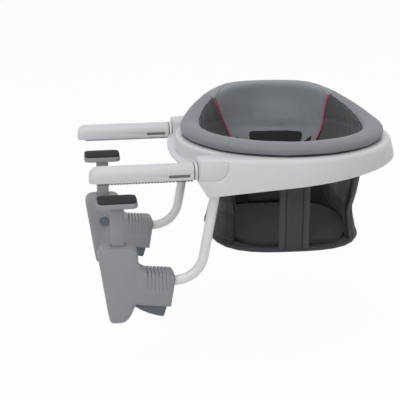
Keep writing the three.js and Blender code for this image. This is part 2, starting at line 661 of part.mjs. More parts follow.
function handleShape() {
  const end = HANDLE_END;
  const endTop = HANDLE_TOP - HANDLE_SLOPE;
  const round = HOUSING_EDGE * 2;
  const inside = BARREL_FRONT - 13;
  const shape = new THREE.Shape();
  shape.moveTo(inside, HANDLE_TOP + 2 * round);
  shape.lineTo(BARREL_FRONT, HANDLE_TOP + 1.5 * round);
  shape.quadraticCurveTo(BARREL_FRONT, HANDLE_TOP, BARREL_FRONT + 1.5 * round, HANDLE_TOP);
  shape.lineTo(end - round, endTop);
  shape.quadraticCurveTo(end, endTop, end, endTop - round);
  shape.lineTo(end - HANDLE_LEAN, HANDLE_FOOT);
  shape.lineTo(BARREL_FRONT - 5, HANDLE_FOOT + 7);
  shape.lineTo(inside, HANDLE_FOOT + 10);
  return shape;
}

// Grooves between the grip ribs: an arch over the handle's upper half
function ribGroove(x) {
  const low = TUBE_LOW - TUBE_RADIUS;
  const top = HANDLE_TOP + HOUSING_EDGE;
  const arch = new THREE.Shape();
  const outer = HANDLE_HALF + 3;
  const inner = HANDLE_HALF - RIB_DEPTH;
  const crown = HANDLE_TOP - HANDLE_SLOPE - RIB_DEPTH;
  arch.moveTo(-outer, low);
  arch.lineTo(-inner, low);
  arch.lineTo(-inner, crown - HOUSING_EDGE);
  arch.lineTo(-inner + HOUSING_EDGE, crown);
  arch.lineTo(inner - HOUSING_EDGE, crown);
  arch.lineTo(inner, crown - HOUSING_EDGE);
  arch.lineTo(inner, low);
  arch.lineTo(outer, low);
  arch.lineTo(outer, top);
  arch.lineTo(-outer, top);
  const geometry = new THREE.ExtrudeGeometry(arch, { depth: RIB_GROOVE, bevelEnabled: false });
  return solidOf(geometry.rotateX(Math.PI / 2).rotateZ(Math.PI / 2).translate(x, 0, 0));
}

const postHole = (grow) => [POST_X - POST_WIDTH / 2 - grow, POST_X + POST_WIDTH / 2 + grow,
  -POST_DEPTH / 2 - grow, POST_DEPTH / 2 + grow];

// Outline in X and Z about the trigger's pin: shares of the trigger's length along X, heights along Z
function aboutPivot(points, reach = TRIGGER_LENGTH) {
  return points.map(([share, height]) => [PIVOT_X + share * reach, PIVOT_Z + height]);
}

// Trigger's pocket in the handle, open below
function triggerPocket() {
  const roof = PLATE_RISE + PLATE_THICKNESS + 2;
  const below = -2 * PIVOT_HEIGHT;
  return aboutPivot([[-0.34, roof], [0.27, roof], [0.42, PLATE_RISE], [1.06, 0.75 * PLATE_RISE],
    [1.06, below], [-0.04, below], [-0.11, -8], [-0.08, -4], [-0.34, 6]]);
}

// Whole housing before it is split; the release button is on the `inner` side
function clampHousing(inner) {
  let body = solidOf(slab(barrelShape(0), -BARREL_HALF, BARREL_HALF, HOUSING_EDGE));
  body = body.add(solidOf(slab(handleShape(), -HANDLE_HALF, HANDLE_HALF, HOUSING_EDGE)));
  for (let i = 0; i < RIB_COUNT; i++) body = body.subtract(ribGroove(BARREL_FRONT + 13 + i * RIB_PITCH));
  const hollowHalf = BARREL_HALF - HOUSING_WALL;
  body = body.subtract(solidOf(slab(barrelShape(HOUSING_WALL), -hollowHalf, hollowHalf)));
  body = body.subtract(solidOf(box(...postHole(SLIP), BARREL_TOP - 20, BARREL_TOP + 5)));
  body = body.subtract(solidOf(rodX(TUBE_RADIUS + FIT, TUBE_END - FIT, BEYOND, 0, TUBE_LOW, 12)));
  body = body.subtract(solidOf(slab(triggerPocket(), -TRIGGER_HALF - SLIP, TRIGGER_HALF + SLIP)));
  const pinHalf = HANDLE_HALF - 3;
  body = body.subtract(solidOf(rodY(PIN_RADIUS + FIT, -pinHalf, pinHalf, PIVOT_X, PIVOT_Z, 12)));
  const cupFloor = POST_DEPTH / 2 + 1.4;
  const across = (radius, a, b) => {
    const span = inner > 0 ? [a, b] : [-b, -a];
    return solidOf(rodY(radius, ...span, POST_X, BUTTON_Z));
  };
  body = body.add(across(BUTTON_RADIUS + 3.6, cupFloor, BARREL_HALF - 1));
  body = body.subtract(across(BUTTON_RADIUS + 1.2, cupFloor + 1.2, BARREL_HALF - 3));
  body = body.subtract(across(BUTTON_RADIUS + SLIP, cupFloor + 1.2, BARREL_HALF + 3));
  body = body.subtract(across(BUTTON_STEM + SLIP, cupFloor - 1, BARREL_HALF));
  return body;
}

function housingHalf(whole, side) {
  const gap = FIT / 2;
  const [from, to] = side > 0 ? [gap, BEYOND] : [-BEYOND, -gap];
  const half = box(-BEYOND, BEYOND, from, to, -BEYOND, BEYOND);
  return geometryOf(whole.intersect(solidOf(half)));
}

function clampTrigger() {
  const outline = aboutPivot([[-0.065, -4.4], [-0.113, -7.4], [0.11, -14.5], [0.37, -20.3], [0.63, -24.6],
    [0.83, -27], [0.88, -25.6], [0.985, -10], [1, -4], [0.7, -2.4], [0.35, 4.5], [0.17, 7], [0.09, 5]]);
  let body = solidOf(slab(outline, -TRIGGER_HALF, TRIGGER_HALF));
  body = body.add(solidOf(rodY(5, -HUB_HALF, HUB_HALF, PIVOT_X, PIVOT_Z)));
  const relief = 6.5;
  for (const side of [-1, 1]) {
    const [from, to] = side > 0 ? [HUB_HALF, BEYOND] : [-BEYOND, -HUB_HALF];
    body = body.subtract(solidOf(rodY(relief, from, to, PIVOT_X, PIVOT_Z)));
  }
  return geometryOf(body.subtract(solidOf(rodY(PIN_RADIUS + FIT, -BEYOND, BEYOND, PIVOT_X, PIVOT_Z, 12))));
}

function gripPlate() {
  const top = PLATE_Z + PLATE_THICKNESS;
  const half = BARREL_HALF - HOUSING_WALL - FIT;
  const front = POST_X + POST_WIDTH / 2 + 4;
  const ring = solidOf(box(POST_X - POST_WIDTH / 2 - 3, front, -half, half, PLATE_Z, top));
  const tail = solidOf(box(front - 1, BARREL_FRONT + 13, -6, 6, PLATE_Z, top));
  return geometryOf(ring.add(tail).subtract(solidOf(box(...postHole(SLIP), PLATE_Z - 5, top + 5))));
}

function jawHead() {
  const low = JAW_LEVEL - JAW_PAD - FIT - JAW_HEAD;
  const plate = solidOf(roundedPlate(JAW_LENGTH, JAW_WIDTH, 10, low, low + JAW_HEAD).translate(POST_X, 0, 0));
  return geometryOf(plate.subtract(solidOf(box(...postHole(FIT), low - 5, low + JAW_SEAT + FIT))));
}

function roundedPlate(length, width, corner, low, high) {
  const shape = new THREE.Shape();
  const x = length / 2;
  const y = width / 2;
  shape.absarc(x - corner, y - corner, corner, 0, Math.PI / 2, false);
  shape.absarc(-x + corner, y - corner, corner, Math.PI / 2, Math.PI, false);
  shape.absarc(-x + corner, -y + corner, corner, Math.PI, 1.5 * Math.PI, false);
  shape.absarc(x - corner, -y + corner, corner, 1.5 * Math.PI, 2 * Math.PI, false);
  const settings = { depth: high - low, bevelEnabled: false, curveSegments: 4 };
  return new THREE.ExtrudeGeometry(shape, settings).translate(0, 0, low);
}

function releaseButton(inner) {
  const flangeFoot = POST_DEPTH / 2 + 1.4 + 1.2 + 3.7;
  const along = (a, b) => (inner > 0 ? [a, b] : [-b, -a]);
  const head = rodY(BUTTON_RADIUS, ...along(flangeFoot, BARREL_HALF + BUTTON_PROUD), POST_X, BUTTON_Z);
  const flange = rodY(BUTTON_RADIUS + 0.8, ...along(flangeFoot, flangeFoot + 1.4), POST_X, BUTTON_Z);
  const stem = rodY(BUTTON_STEM, ...along(POST_DEPTH / 2 + 2.6, flangeFoot + 1), POST_X, BUTTON_Z);
  return geometryOf(solidOf(head).add(solidOf(flange)).add(solidOf(stem)));
}

function sleeveY(innerRadius, outerRadius, from, to, x, z) {
  const outer = solidOf(rodY(outerRadius, from, to, x, z));
  return geometryOf(outer.subtract(solidOf(rodY(innerRadius, from - 1, to + 1, x, z))));
}

const clamps = new THREE.Group();
for (const [name, side] of [['left', -1], ['right', 1]]) {
  const clamp = new THREE.Group();
  clamp.position.y = side * ARM_Y;
  clamps.add(clamp);
  const inner = -side;
  const whole = clampHousing(inner);
  piece(clamp, `${name}_clamp_tube`, clampTube(), paintedSteel);
  piece(clamp, `${name}_housing_outer`, housingHalf(whole, side), greyPlastic);
  piece(clamp, `${name}_housing_inner`, housingHalf(whole, inner), greyPlastic);
  const pinHalf = HANDLE_HALF - 3 - FIT;
  piece(clamp, `${name}_trigger_pin`, rodY(PIN_RADIUS, -pinHalf, pinHalf, PIVOT_X, PIVOT_Z, 12), steel);
  const coil = [HUB_HALF + SLIP, TRIGGER_HALF];
  const coilEnds = inner > 0 ? coil : [-coil[1], -coil[0]];
  piece(clamp, `${name}_trigger_spring`, sleeveY(PIN_RADIUS + FIT, 4, ...coilEnds, PIVOT_X, PIVOT_Z), steel);
  piece(clamp, `${name}_trigger`, clampTrigger(), slatePlastic);
  piece(clamp, `${name}_grip_plate`, gripPlate(), steel);
  const headLow = JAW_LEVEL - JAW_PAD - FIT - JAW_HEAD;
  const postTop = headLow + JAW_SEAT;
  piece(clamp, `${name}_jaw_post`, box(...postHole(0), postTop - POST_LENGTH, postTop), greyPlastic);
  piece(clamp, `${name}_jaw_head`, jawHead(), greyPlastic);
  const padLow = JAW_LEVEL - JAW_PAD;
  const pad = roundedPlate(JAW_LENGTH - 2, JAW_WIDTH - 2, 9, padLow, JAW_LEVEL);
  piece(clamp, `${name}_jaw_pad`, pad.translate(POST_X, 0, 0), rubber);
  piece(clamp, `${name}_release_button`, releaseButton(inner), slatePlastic);
  const floor = POST_DEPTH / 2 + 1.4 + 1.2 + FIT;
  const waves = inner > 0 ? [floor, floor + 1.1] : [-floor - 1.1, -floor];
  const spring = sleeveY(BUTTON_STEM + FIT + 0.3, 6.5, ...waves, POST_X, BUTTON_Z);
  piece(clamp, `${name}_release_spring`, spring, steel);
}

// Seat, about its turning axis: angles run from the back, +Y here, towards +X
function polar(angle, radius, z) {
  return new THREE.Vector3(radius * Math.sin(angle), radius * Math.cos(angle), z);
}

// Plan radius of the tub's outside: a ring above, a rounded square at the board, drawn in between
function tubRadius(angle, z) {
  const across = Math.abs(Math.sin(angle)) / TUB_HALF_WIDTH;
  const along = Math.abs(Math.cos(angle)) / TUB_HALF_DEPTH;
  const board = (across ** TUB_SQUARE + along ** TUB_SQUARE) ** (-1 / TUB_SQUARE);
  const spread = z > PINCH_HEIGHT ? PINCH_ABOVE : PINCH_BELOW;
  const pinch = TUB_PINCH * Math.sin(angle) ** 2 * Math.exp(-(((z - PINCH_HEIGHT) / spread) ** 2));
  const narrowing = smooth((TUB_NECK_TOP - z) / (TUB_NECK_TOP - TUB_NECK_FOOT));
  return THREE.MathUtils.lerp(TUB_RADIUS, board, narrowing) - pinch;
}

// Share from 0 to 1 of a change between two angles, in degrees from the back
function shareBetween(angle, start, end) {
  const fromBack = THREE.MathUtils.radToDeg(Math.acos(Math.cos(angle)));
  return smooth((fromBack - start) / (end - start));
}

function rimTop(angle) {
  return THREE.MathUtils.lerp(RIM_FRONT, RIM_BACK, shareBetween(angle, RIM_RISE_START, RIM_RISE_END));
}

// Loft of [radius, height] loops over angles; `spread` may bend an angle with the height
function polarLoft(angles, loopAt, spread = (angle) => angle) {
  const loops = angles.map(loopAt);
  const sections = loops.map((loop, i) => loop.map(([r, z]) => polar(spread(angles[i], z), r, z)));
  return loft(sections, loops[0].map(([r, z]) => new THREE.Vector2(r, z)));
}

function steps(from, to, count) {
  return Array.from({ length: count + 1 }, (_, i) => from + ((to - from) * i) / count);
}

// Upper round of the rim: share of its width from the inner side, share of its height
const rimRound = [[1, 0.12], [0.985, 0.38], [0.93, 0.64], [0.83, 0.85], [0.68, 0.96], [0.5, 1],
  [0.32, 0.965], [0.17, 0.85], [0.07, 0.64], [0.015, 0.38], [0, 0.12]];
const rimFoot = RIM_SEAT + 2;

function rimCurve(angle) {
  const width = RIM_OUTER - RIM_INNER;
  const top = rimTop(angle);
  const innerFoot = Math.max(rimInnerFoot(angle) + 1, rimFoot);
  return rimRound.map(([w, h]) => {
    const foot = w < 0.5 ? innerFoot : rimFoot;
    return [RIM_INNER + width * w, foot + (top - foot) * h];
  });
}

// Lower edge of the rim's inner face: at the flange in front, close under the rim's top at the back
function rimInnerFoot(angle) {
  const share = shareBetween(angle, RIM_FACE_START, RIM_FACE_END);
  return rimTop(angle) - THREE.MathUtils.lerp(RIM_INNER_FACE, RIM_BACK_FACE, share);
}

// Under the rim: its cover wraps the flange's inner edge and drops a little past the outer one
function wrapInner(angle) {
  const foot = rimInnerFoot(angle);
  const wall = FLANGE_INNER - SLIP + 4 * SLIP * smooth((foot - RIM_SEAT) / 2);
  return [[RIM_INNER + 1.5, foot + 1], [RIM_INNER + 3.5, foot], [wall, foot], [wall, RIM_SEAT]];
}

const wrapOuter = [[FLANGE_OUTER + 1, RIM_SEAT], [FLANGE_OUTER + 1.4, GLIDE_TOP - 0.2],
  [RIM_OUTER - 2.5, GLIDE_TOP - 0.3]];

function rimBolster() {
  const edge = rad(BACK_TOP_ANGLE + 0.15);
  return polarLoft(steps(edge, 2 * Math.PI - edge, 36), (angle) => {
    return [...wrapInner(angle), ...wrapOuter, ...rimCurve(angle)];
  });
}

// Half angle of the back pad, narrower towards the board
function backSpread(z) {
  const share = Math.min((z - BOARD_TOP) / (BACK_FULL_HEIGHT - BOARD_TOP), 1);
  return rad(THREE.MathUtils.lerp(BACK_LOW_ANGLE, BACK_TOP_ANGLE, share));
}

const liningOuter = (angle, z) => tubRadius(angle, z) - CLOTH - LINING_GAP;
const neck = [FLANGE_INNER - SLIP, RIM_SEAT];
const tubLevels = [FLANGE_BOTTOM - SLIP, 12, -8, -24, TUB_NECK_FOOT, -60, PINCH_HEIGHT, -104,
  BOARD_TOP + FIT];

// Band of lining between the tub's cloth and the child, from the rim's foot down to the board
function liningBand(angleAt, thickness) {
  const down = tubLevels.map((z) => [liningOuter(angleAt(z), z) - thickness, z]);
  const up = tubLevels.map((z) => [liningOuter(angleAt(z), z), z]).reverse();
  return [...down, ...up];
}

function backPad() {
  const half = rad(BACK_TOP_ANGLE);
  const spread = (angle, z) => (angle / half) * backSpread(z);
  return polarLoft(steps(-half, half, 14), (angle) => {
    const band = liningBand((z) => spread(angle, z), PAD_BAND);
    return [neck, ...wrapOuter, ...rimCurve(angle), ...band, [neck[0], FLANGE_BOTTOM - SLIP]];
  }, spread);
}

function sidePanel(side) {
  const gap = rad(SEAM_GAP);
  const spread = (share, z) => {
    const start = backSpread(z) + gap;
    return side * (start + (rad(LEG_ANGLE) - start) * share);
  };
  const tongue = FLANGE_INNER - 2 * SLIP;
  return polarLoft(steps(0, 1, 12), (share) => {
    let top = RIM_SEAT;
    for (let i = 0; i < 6; i++) top = rimInnerFoot(spread(share, top)) - SLIP;
    const band = liningBand((z) => spread(share, z), SIDE_BAND);
    const face = RIM_INNER + 1.5;
    const low = FLANGE_BOTTOM + 0.5;
    return [[tongue, top], [face, top], [face, low], ...band, [tongue, FLANGE_BOTTOM - SLIP]];
  }, spread);
}

// Piping cord along the seam between back pad and side panel
function piping(side) {
  const path = tubLevels.slice(0, -3).map((z) => {
    const angle = side * backSpread(z);
    const radius = Math.min(liningOuter(angle, z) - PAD_BAND, RIM_INNER + 1) - PIPING_RADIUS - SLIP;
    return polar(angle, radius, z);
  });
  for (const z of [46, 60, BACK_FULL_HEIGHT]) {
    path.unshift(polar(side * backSpread(z), RIM_INNER - PIPING_RADIUS - SLIP, z));
  }
  const shape = new THREE.Shape();
  shape.absarc(0, 0, PIPING_RADIUS, 0, 2 * Math.PI, false);
  const settings = { steps: 16, curveSegments: 3, extrudePath: new THREE.CatmullRomCurve3(path) };
  return new THREE.ExtrudeGeometry(shape, settings);
}

function tubCloth(from, to, count) {
  return polarLoft(steps(rad(from), rad(to), count), (angle) => {
    const outside = tubLevels.map((z) => [tubRadius(angle, z), z]);
    const inside = tubLevels.map((z) => [tubRadius(angle, z) - CLOTH, z]).reverse();
    return [...outside, ...inside];
  });
}

// Plan outline of the tub at a height, drawn in by an inset that may change round it
function tubPlan(z, insetAt, count = 36) {
  return Array.from({ length: count }, (_, i) => {
    const angle = (2 * Math.PI * i) / count;
    return polar(angle, tubRadius(angle, z) - insetAt(angle), z);
  });
}

function stacked(levels) {
  return loft(levels, levels[0].map((p) => new THREE.Vector2(p.x, p.y)));
}

// Board with rounded edges; the tub's cloth is sewn to its top edge
function seatBoard() {
  const rows = [[0, 4], [0.15, 1.2], [0.4, 0], [0.85, 0], [1, 0.8]];
  return stacked(rows.map(([share, inset]) => {
    return tubPlan(BOARD_TOP, () => inset).map((p) => p.setZ(TUB_BOTTOM + BOARD * share));
  }));
}

function seatCushion() {
  const foot = BOARD_TOP + FIT;
  const beside = CLOTH + LINING_GAP + PAD_BAND + 1;
  const open = CLOTH + LINING_GAP;
  const edgeAt = (angle) => {
    return THREE.MathUtils.lerp(beside, open, shareBetween(angle, LEG_ANGLE + 1, LEG_ANGLE + 10));
  };
  const rows = [[0, 1], [0.4, 0], [0.78, 1], [0.95, 4], [1, 13]];
  return stacked(rows.map(([share, inset]) => {
    return tubPlan(foot, (angle) => edgeAt(angle) + inset).map((p) => p.setZ(foot + CUSHION_CROWN * share));
  }));
}

// Face that the patch, the straps and the buckle lie against, a little clear of the back pad
const backFace = (angle, z) => liningOuter(angle, z) - PAD_BAND - SLIP - 0.5;

function lumbarPatch() {
  const levels = steps(PATCH_TOP, PATCH_BOTTOM, 4);
  return polarLoft(steps(rad(-PATCH_ANGLE), rad(PATCH_ANGLE), 8), (angle) => {
    const outside = levels.map((z) => [backFace(angle, z), z]);
    const inside = levels.map((z) => [backFace(angle, z) - PATCH, z]).reverse();
    return [...outside, ...inside];
  });
}

const buckleAngle = Math.asin((BUCKLE[0] / 2 + SLIP) / backFace(0, BUCKLE_Z));
const buckleBack = Math.cos(buckleAngle) * backFace(buckleAngle, BUCKLE_Z - BUCKLE[1] / 2);
const buckleFront = buckleBack - BUCKLE[2];

// Webbing that comes out of the wall beside the patch and lies on the back pad down to the buckle
function waistStrap(side) {
  const start = rad(STRAP_ANGLE);
  return polarLoft(steps(start, buckleAngle, 6).map((angle) => side * angle), (angle) => {
    const share = (Math.abs(angle) - buckleAngle) / (start - buckleAngle);
    const middle = THREE.MathUtils.lerp(BUCKLE_Z, STRAP_Z, share);
    const heights = steps(middle + STRAP_WIDTH / 2, middle - STRAP_WIDTH / 2, 2);
    const outside = heights.map((z) => [backFace(angle, z), z]);
    const inside = heights.map((z) => [backFace(angle, z) - STRAP, z]).reverse();
    return [...outside, ...inside];
  });
}

// Plate that stands against the back, with its rear face at `rear`
function uprightPlate([length, width, depth], corner, rear) {
  return roundedPlate(length, width, corner, 0, depth).rotateX(Math.PI / 2).translate(0, rear, BUCKLE_Z);
}

function buckleHousing() {
  const [bx, bz] = BUCKLE_BUTTON.map((size) => size / 2 + SLIP);
  const floor = buckleFront + BUCKLE_BUTTON[2] + BUCKLE_TRAVEL;
  const pocket = box(-bx, bx, buckleFront - 5, floor, BUCKLE_Z - bz, BUCKLE_Z + bz);
  return geometryOf(solidOf(uprightPlate(BUCKLE, 8, buckleBack)).subtract(solidOf(pocket)));
}

function buckleButton() {
  return uprightPlate(BUCKLE_BUTTON, 3, buckleFront + BUCKLE_BUTTON[2] - 0.5);
}

const retainerTop = INNER_WALL_FOOT - FIT;
const retainerLow = retainerTop - RETAINER;

function turntableRing() {
  const skirtEnd = retainerTop + FIT;
  return turned([[FLANGE_INNER, FLANGE_BOTTOM], [SKIRT_INNER, FLANGE_BOTTOM], [SKIRT_INNER, skirtEnd],
    [SKIRT_OUTER, skirtEnd], [SKIRT_OUTER, FLANGE_BOTTOM], [FLANGE_OUTER, FLANGE_BOTTOM],
    [FLANGE_OUTER, FLANGE_TOP], [FLANGE_INNER, FLANGE_TOP]], 48);
}

// Ring screwed under the turntable, with the lever's two lugs at the back
function retainerRing() {
  const outer = OPENING_RADIUS + INNER_WALL - 1.4;
  const inner = SKIRT_INNER + 0.2;
  const section = [[inner, retainerLow], [outer, retainerLow], [outer, retainerTop], [inner, retainerTop]];
  let ring = solidOf(turned(section));
  for (const side of [-1, 1]) {
    const [from, to] = side > 0 ? [LEVER_HALF + SLIP, LEVER_HALF + 5] : [-LEVER_HALF - 5, -LEVER_HALF - SLIP];
    const lug = box(from, to, LEVER_PIN_R - 4, LEVER_PIN_R + 3.6, LEVER_PIN_Z - 4, retainerTop - 1);
    ring = ring.add(solidOf(lug));
  }
  return geometryOf(ring.subtract(leverBore(BEYOND, 12)));
}

// Hole for the lever's pin, through a half length on both sides of the middle
function leverBore(half, sides) {
  return solidOf(rodX(LEVER_PIN_RADIUS + FIT, -half, half, LEVER_PIN_R, LEVER_PIN_Z, sides));
}

function rotationLever() {
  const hub = solidOf(rodX(4, -LEVER_HALF, LEVER_HALF, LEVER_PIN_R, LEVER_PIN_Z, 16));
  const paddleTop = LEVER_PIN_Z - PADDLE_DROP;
  const paddle = solidOf(box(-LEVER_HALF, LEVER_HALF, LEVER_PIN_R, LEVER_REACH, LEVER_PIN_Z - 4, paddleTop));
  const coilSpace = solidOf(box(-6, 6, LEVER_PIN_R - 8, LEVER_PIN_R + 5, LEVER_PIN_Z - 8, LEVER_PIN_Z + 8));
  const lever = hub.add(paddle).subtract(coilSpace);
  return geometryOf(lever.subtract(leverBore(BEYOND, 12)));
}

function leverSpring() {
  const outer = solidOf(rodX(3.9, -5, 5, LEVER_PIN_R, LEVER_PIN_Z, 16));
  return geometryOf(outer.subtract(leverBore(6, 16)));
}

// Pin on the lever's paddle that finds the pockets of the base plate
function indexPin() {
  const low = LEVER_PIN_Z - PADDLE_DROP + FIT;
  const top = retainerTop - BASE_PLATE - FIT;
  return rodZ(INDEX_PIN_RADIUS, low, top, 0, INDEX_PIN_R);
}

const seat = new THREE.Group();
seat.position.x = RING_X;
seat.rotation.z = rad(SEAT_TURN);
piece(seat, 'turntable_ring', turntableRing(), acetal);
piece(seat, 'retainer_ring', retainerRing(), acetal);
piece(seat, 'rim_bolster', rimBolster(), rimCover);
piece(seat, 'back_pad', backPad(), backCover);
for (const [name, side] of [['left', -1], ['right', 1]]) {
  piece(seat, `${name}_side_panel`, sidePanel(side), meshCover);
  piece(seat, `${name}_piping`, piping(side), redCord);
  piece(seat, `${name}_waist_strap`, waistStrap(side), black);
}
piece(seat, 'seat_skirt', tubCloth(-LEG_ANGLE, LEG_ANGLE, 34), charcoal);
const crotchHalf = THREE.MathUtils.radToDeg(Math.asin(CROTCH_WIDTH / 2 / TUB_HALF_DEPTH));
piece(seat, 'crotch_panel', tubCloth(180 - crotchHalf, 180 + crotchHalf, 5), charcoal);
piece(seat, 'seat_board', seatBoard(), charcoal);
piece(seat, 'seat_cushion', seatCushion(), charcoal);
piece(seat, 'lumbar_patch', lumbarPatch(), black);
piece(seat, 'buckle_housing', buckleHousing(), black);
piece(seat, 'buckle_button', buckleButton(), slatePlastic);
piece(seat, 'rotation_lever', rotationLever(), slatePlastic);
const leverPinHalf = LEVER_HALF + 5;
const leverPin = rodX(LEVER_PIN_RADIUS, -leverPinHalf, leverPinHalf, LEVER_PIN_R, LEVER_PIN_Z, 12);
piece(seat, 'lever_pin', leverPin, steel);
piece(seat, 'lever_spring', leverSpring(), steel);
piece(seat, 'index_pin', indexPin(), steel);

const chair = new THREE.Group();
chair.add(frame, clamps, seat);
chair.position.z = TABLE_DROP; // the origin lies on the table top
export default chair;
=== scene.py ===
# Hook-on table chair: a padded child's seat that turns in a ring and hangs from a table edge by two arms
# and two clamps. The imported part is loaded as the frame, and each section below finishes some of its pieces.
import math

import bpy
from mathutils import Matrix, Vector, noise


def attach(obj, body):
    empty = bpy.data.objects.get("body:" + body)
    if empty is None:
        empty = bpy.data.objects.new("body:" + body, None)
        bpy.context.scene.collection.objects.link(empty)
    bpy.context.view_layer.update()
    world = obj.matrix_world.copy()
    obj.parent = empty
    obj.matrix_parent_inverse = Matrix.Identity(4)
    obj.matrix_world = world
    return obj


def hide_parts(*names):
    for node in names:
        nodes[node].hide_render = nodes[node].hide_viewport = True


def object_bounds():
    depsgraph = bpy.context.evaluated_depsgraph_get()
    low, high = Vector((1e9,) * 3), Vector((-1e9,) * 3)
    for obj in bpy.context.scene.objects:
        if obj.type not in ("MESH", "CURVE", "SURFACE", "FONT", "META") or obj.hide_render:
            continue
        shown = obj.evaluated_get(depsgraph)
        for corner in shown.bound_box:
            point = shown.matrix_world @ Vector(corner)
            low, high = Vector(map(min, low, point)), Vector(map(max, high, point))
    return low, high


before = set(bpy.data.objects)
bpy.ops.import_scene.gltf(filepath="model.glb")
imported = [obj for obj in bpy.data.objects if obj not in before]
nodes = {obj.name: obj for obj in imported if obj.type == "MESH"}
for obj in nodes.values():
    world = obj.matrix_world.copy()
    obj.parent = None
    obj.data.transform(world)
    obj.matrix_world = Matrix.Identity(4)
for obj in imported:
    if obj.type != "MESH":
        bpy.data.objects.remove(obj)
cad_box = [list(corner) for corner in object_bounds()]

# Studio
# A pale floor below the hanging chair, a plain pale surround, and soft lamps above and beside it.
# The camera stands where the photograph was taken from, with a long lens.
scene = bpy.context.scene
scene.view_settings.view_transform = "Standard"
floor_height = cad_box[0][2] - 0.09
bpy.ops.object.select_all(action="DESELECT")
bpy.ops.mesh.primitive_plane_add(size=14, location=(0, 0, floor_height))
floor = bpy.context.object
floor.name = "studio_floor"


class Tone:
    """A socket in a material's nodes. Sums and products of tones add Math nodes."""

    def __init__(self, tree, socket):
        self.tree = tree
        self.socket = socket

    def node(self, kind, settings, inputs, output=0):
        """Any other node: its settings first, then the values or links of its sockets."""
        made = self.tree.nodes.new(kind)
        for name, value in settings.items():
            setattr(made, name, value)
        for name, value in inputs.items():
            if isinstance(value, Tone):
                self.tree.links.new(value.socket, made.inputs[name])
            else:
                made.inputs[name].default_value = value
        return Tone(self.tree, made.outputs[output])

    def into(self, socket):
        """Links the tone to a socket of a shader."""
        self.tree.links.new(self.socket, socket)

    def maths(self, operation, first, second=0.0):
        """A Math node with one or two inputs."""
        return self.node("ShaderNodeMath", {"operation": operation}, {0: first, 1: second})

    def __add__(self, other):
        return self.maths("ADD", self, other)

    def __sub__(self, other):
        return self.maths("SUBTRACT", self, other)

    def __rsub__(self, other):
        return self.maths("SUBTRACT", other, self)

    def __mul__(self, other):
        return self.maths("MULTIPLY", self, other)

    def __abs__(self):
        return self.maths("ABSOLUTE", self)

    __radd__ = __add__


def paint(red, green, blue):
    """A colour written as it shows on screen, from 0 to 255, in the numbers that a shader takes."""
    shares = [value / 255 for value in (red, green, blue)]
    return [s / 12.92 if s <= 0.04045 else ((s + 0.055) / 1.055) ** 2.4 for s in shares] + [1.0]


def seen_directly(tree):
    """1 for the rays that show a surface, straight, in a mirror or through glass; 0 for those that light."""
    rays = tree.nodes.new("ShaderNodeLightPath")
    camera_ray, glossy_ray, clear_ray = [
        Tone(tree, rays.outputs[f"Is {kind} Ray"]) for kind in ("Camera", "Glossy", "Transmission")
    ]
    return camera_ray + glossy_ray + clear_ray


floor_glow = 0.95
surround_light = 0.42
floor_paint = bpy.data.materials.new("floor_paint")
floor_paint.use_nodes = True
floor_nodes = floor_paint.node_tree
floor_shader = floor_nodes.nodes["Principled BSDF"]
floor_shader.inputs["Base Color"].default_value = paint(246, 246, 246)
floor_shader.inputs["Roughness"].default_value = 0.9
seen = seen_directly(floor_nodes)
glow = seen.node("ShaderNodeEmission", {}, {"Color": (1, 1, 1, 1), "Strength": 1.0})
floor_layers = {0: seen * floor_glow, 1: Tone(floor_nodes, floor_shader.outputs[0]), 2: glow}
floor_surface = seen.node("ShaderNodeMixShader", {}, floor_layers)
floor_surface.into(floor_nodes.nodes["Material Output"].inputs["Surface"])
floor.data.materials.append(floor_paint)

surround = bpy.data.worlds.new("studio_surround")
surround.use_nodes = True
scene.world = surround
air = surround.node_tree
backdrop = air.nodes["Background"]
backdrop.inputs["Color"].default_value = (1, 1, 1, 1)
air_strength = surround_light + seen_directly(air) * (1 - surround_light)
air_strength.into(backdrop.inputs["Strength"])

lamp_table = (
    ("overhead_lamp", (-0.1, -0.5, 2.2), 1.8, 22),
    ("front_lamp", (-1.3, -2.2, 1.3), 1.4, 16),
    ("back_lamp", (1.6, 1.4, 1.6), 1.2, 4),
)
aim = Vector((0.09, 0, -0.05))
for lamp_name, lamp_place, lamp_size, lamp_power in lamp_table:
    lamp_data = bpy.data.lights.new(lamp_name, "AREA")
    lamp_data.size = lamp_size
    lamp_data.energy = lamp_power
    lamp = bpy.data.objects.new(lamp_name, lamp_data)
    scene.collection.objects.link(lamp)
    lamp.location = lamp_place
    lamp.rotation_euler = (aim - lamp.location).to_track_quat("-Z", "Y").to_euler()

camera_pitch = 0.2935
camera_yaw = 0.1635
camera_data = bpy.data.cameras.new("photo_camera")
camera_data.sensor_width = 36
camera_data.lens = 100.67
camera = bpy.data.objects.new("photo_camera", camera_data)
scene.collection.objects.link(camera)
camera.location = (-0.2604, -1.7604, 0.462)
camera.rotation_euler = (math.pi / 2 - camera_pitch, 0, -camera_yaw)
scene.camera = camera


# Frame moulding
# One white injection-moulded shell: ring deck, flared wall, two shoulders and a lip that lies on the table.
# It leaves the mould with small radii on its edges and a fine satin grain.
def surface(name):
    """A new material, its shader, and the piece's own coordinates as a tone."""
    material = bpy.data.materials.new(name)
    material.use_nodes = True
    tree = material.node_tree
    coordinates = tree.nodes.new("ShaderNodeTexCoord")
    return material, tree.nodes["Principled BSDF"], Tone(tree, coordinates.outputs["Object"])


def clouds(place, scale, detail=2.0):
    """Soft noise over a surface, from 0 to 1."""
    return place.node("ShaderNodeTexNoise", {}, {"Vector": place, "Scale": scale, "Detail": detail})


def mixed(factor, first, second):
    """The first colour where a factor is 0, the second where it is 1."""
    return factor.node("ShaderNodeMix", {"data_type": "RGBA"}, {0: factor, 6: first, 7: second}, 2)


def shaded(colour, share):
    """A colour made darker or lighter."""
    return [channel * share for channel in colour[:3]] + [1.0]


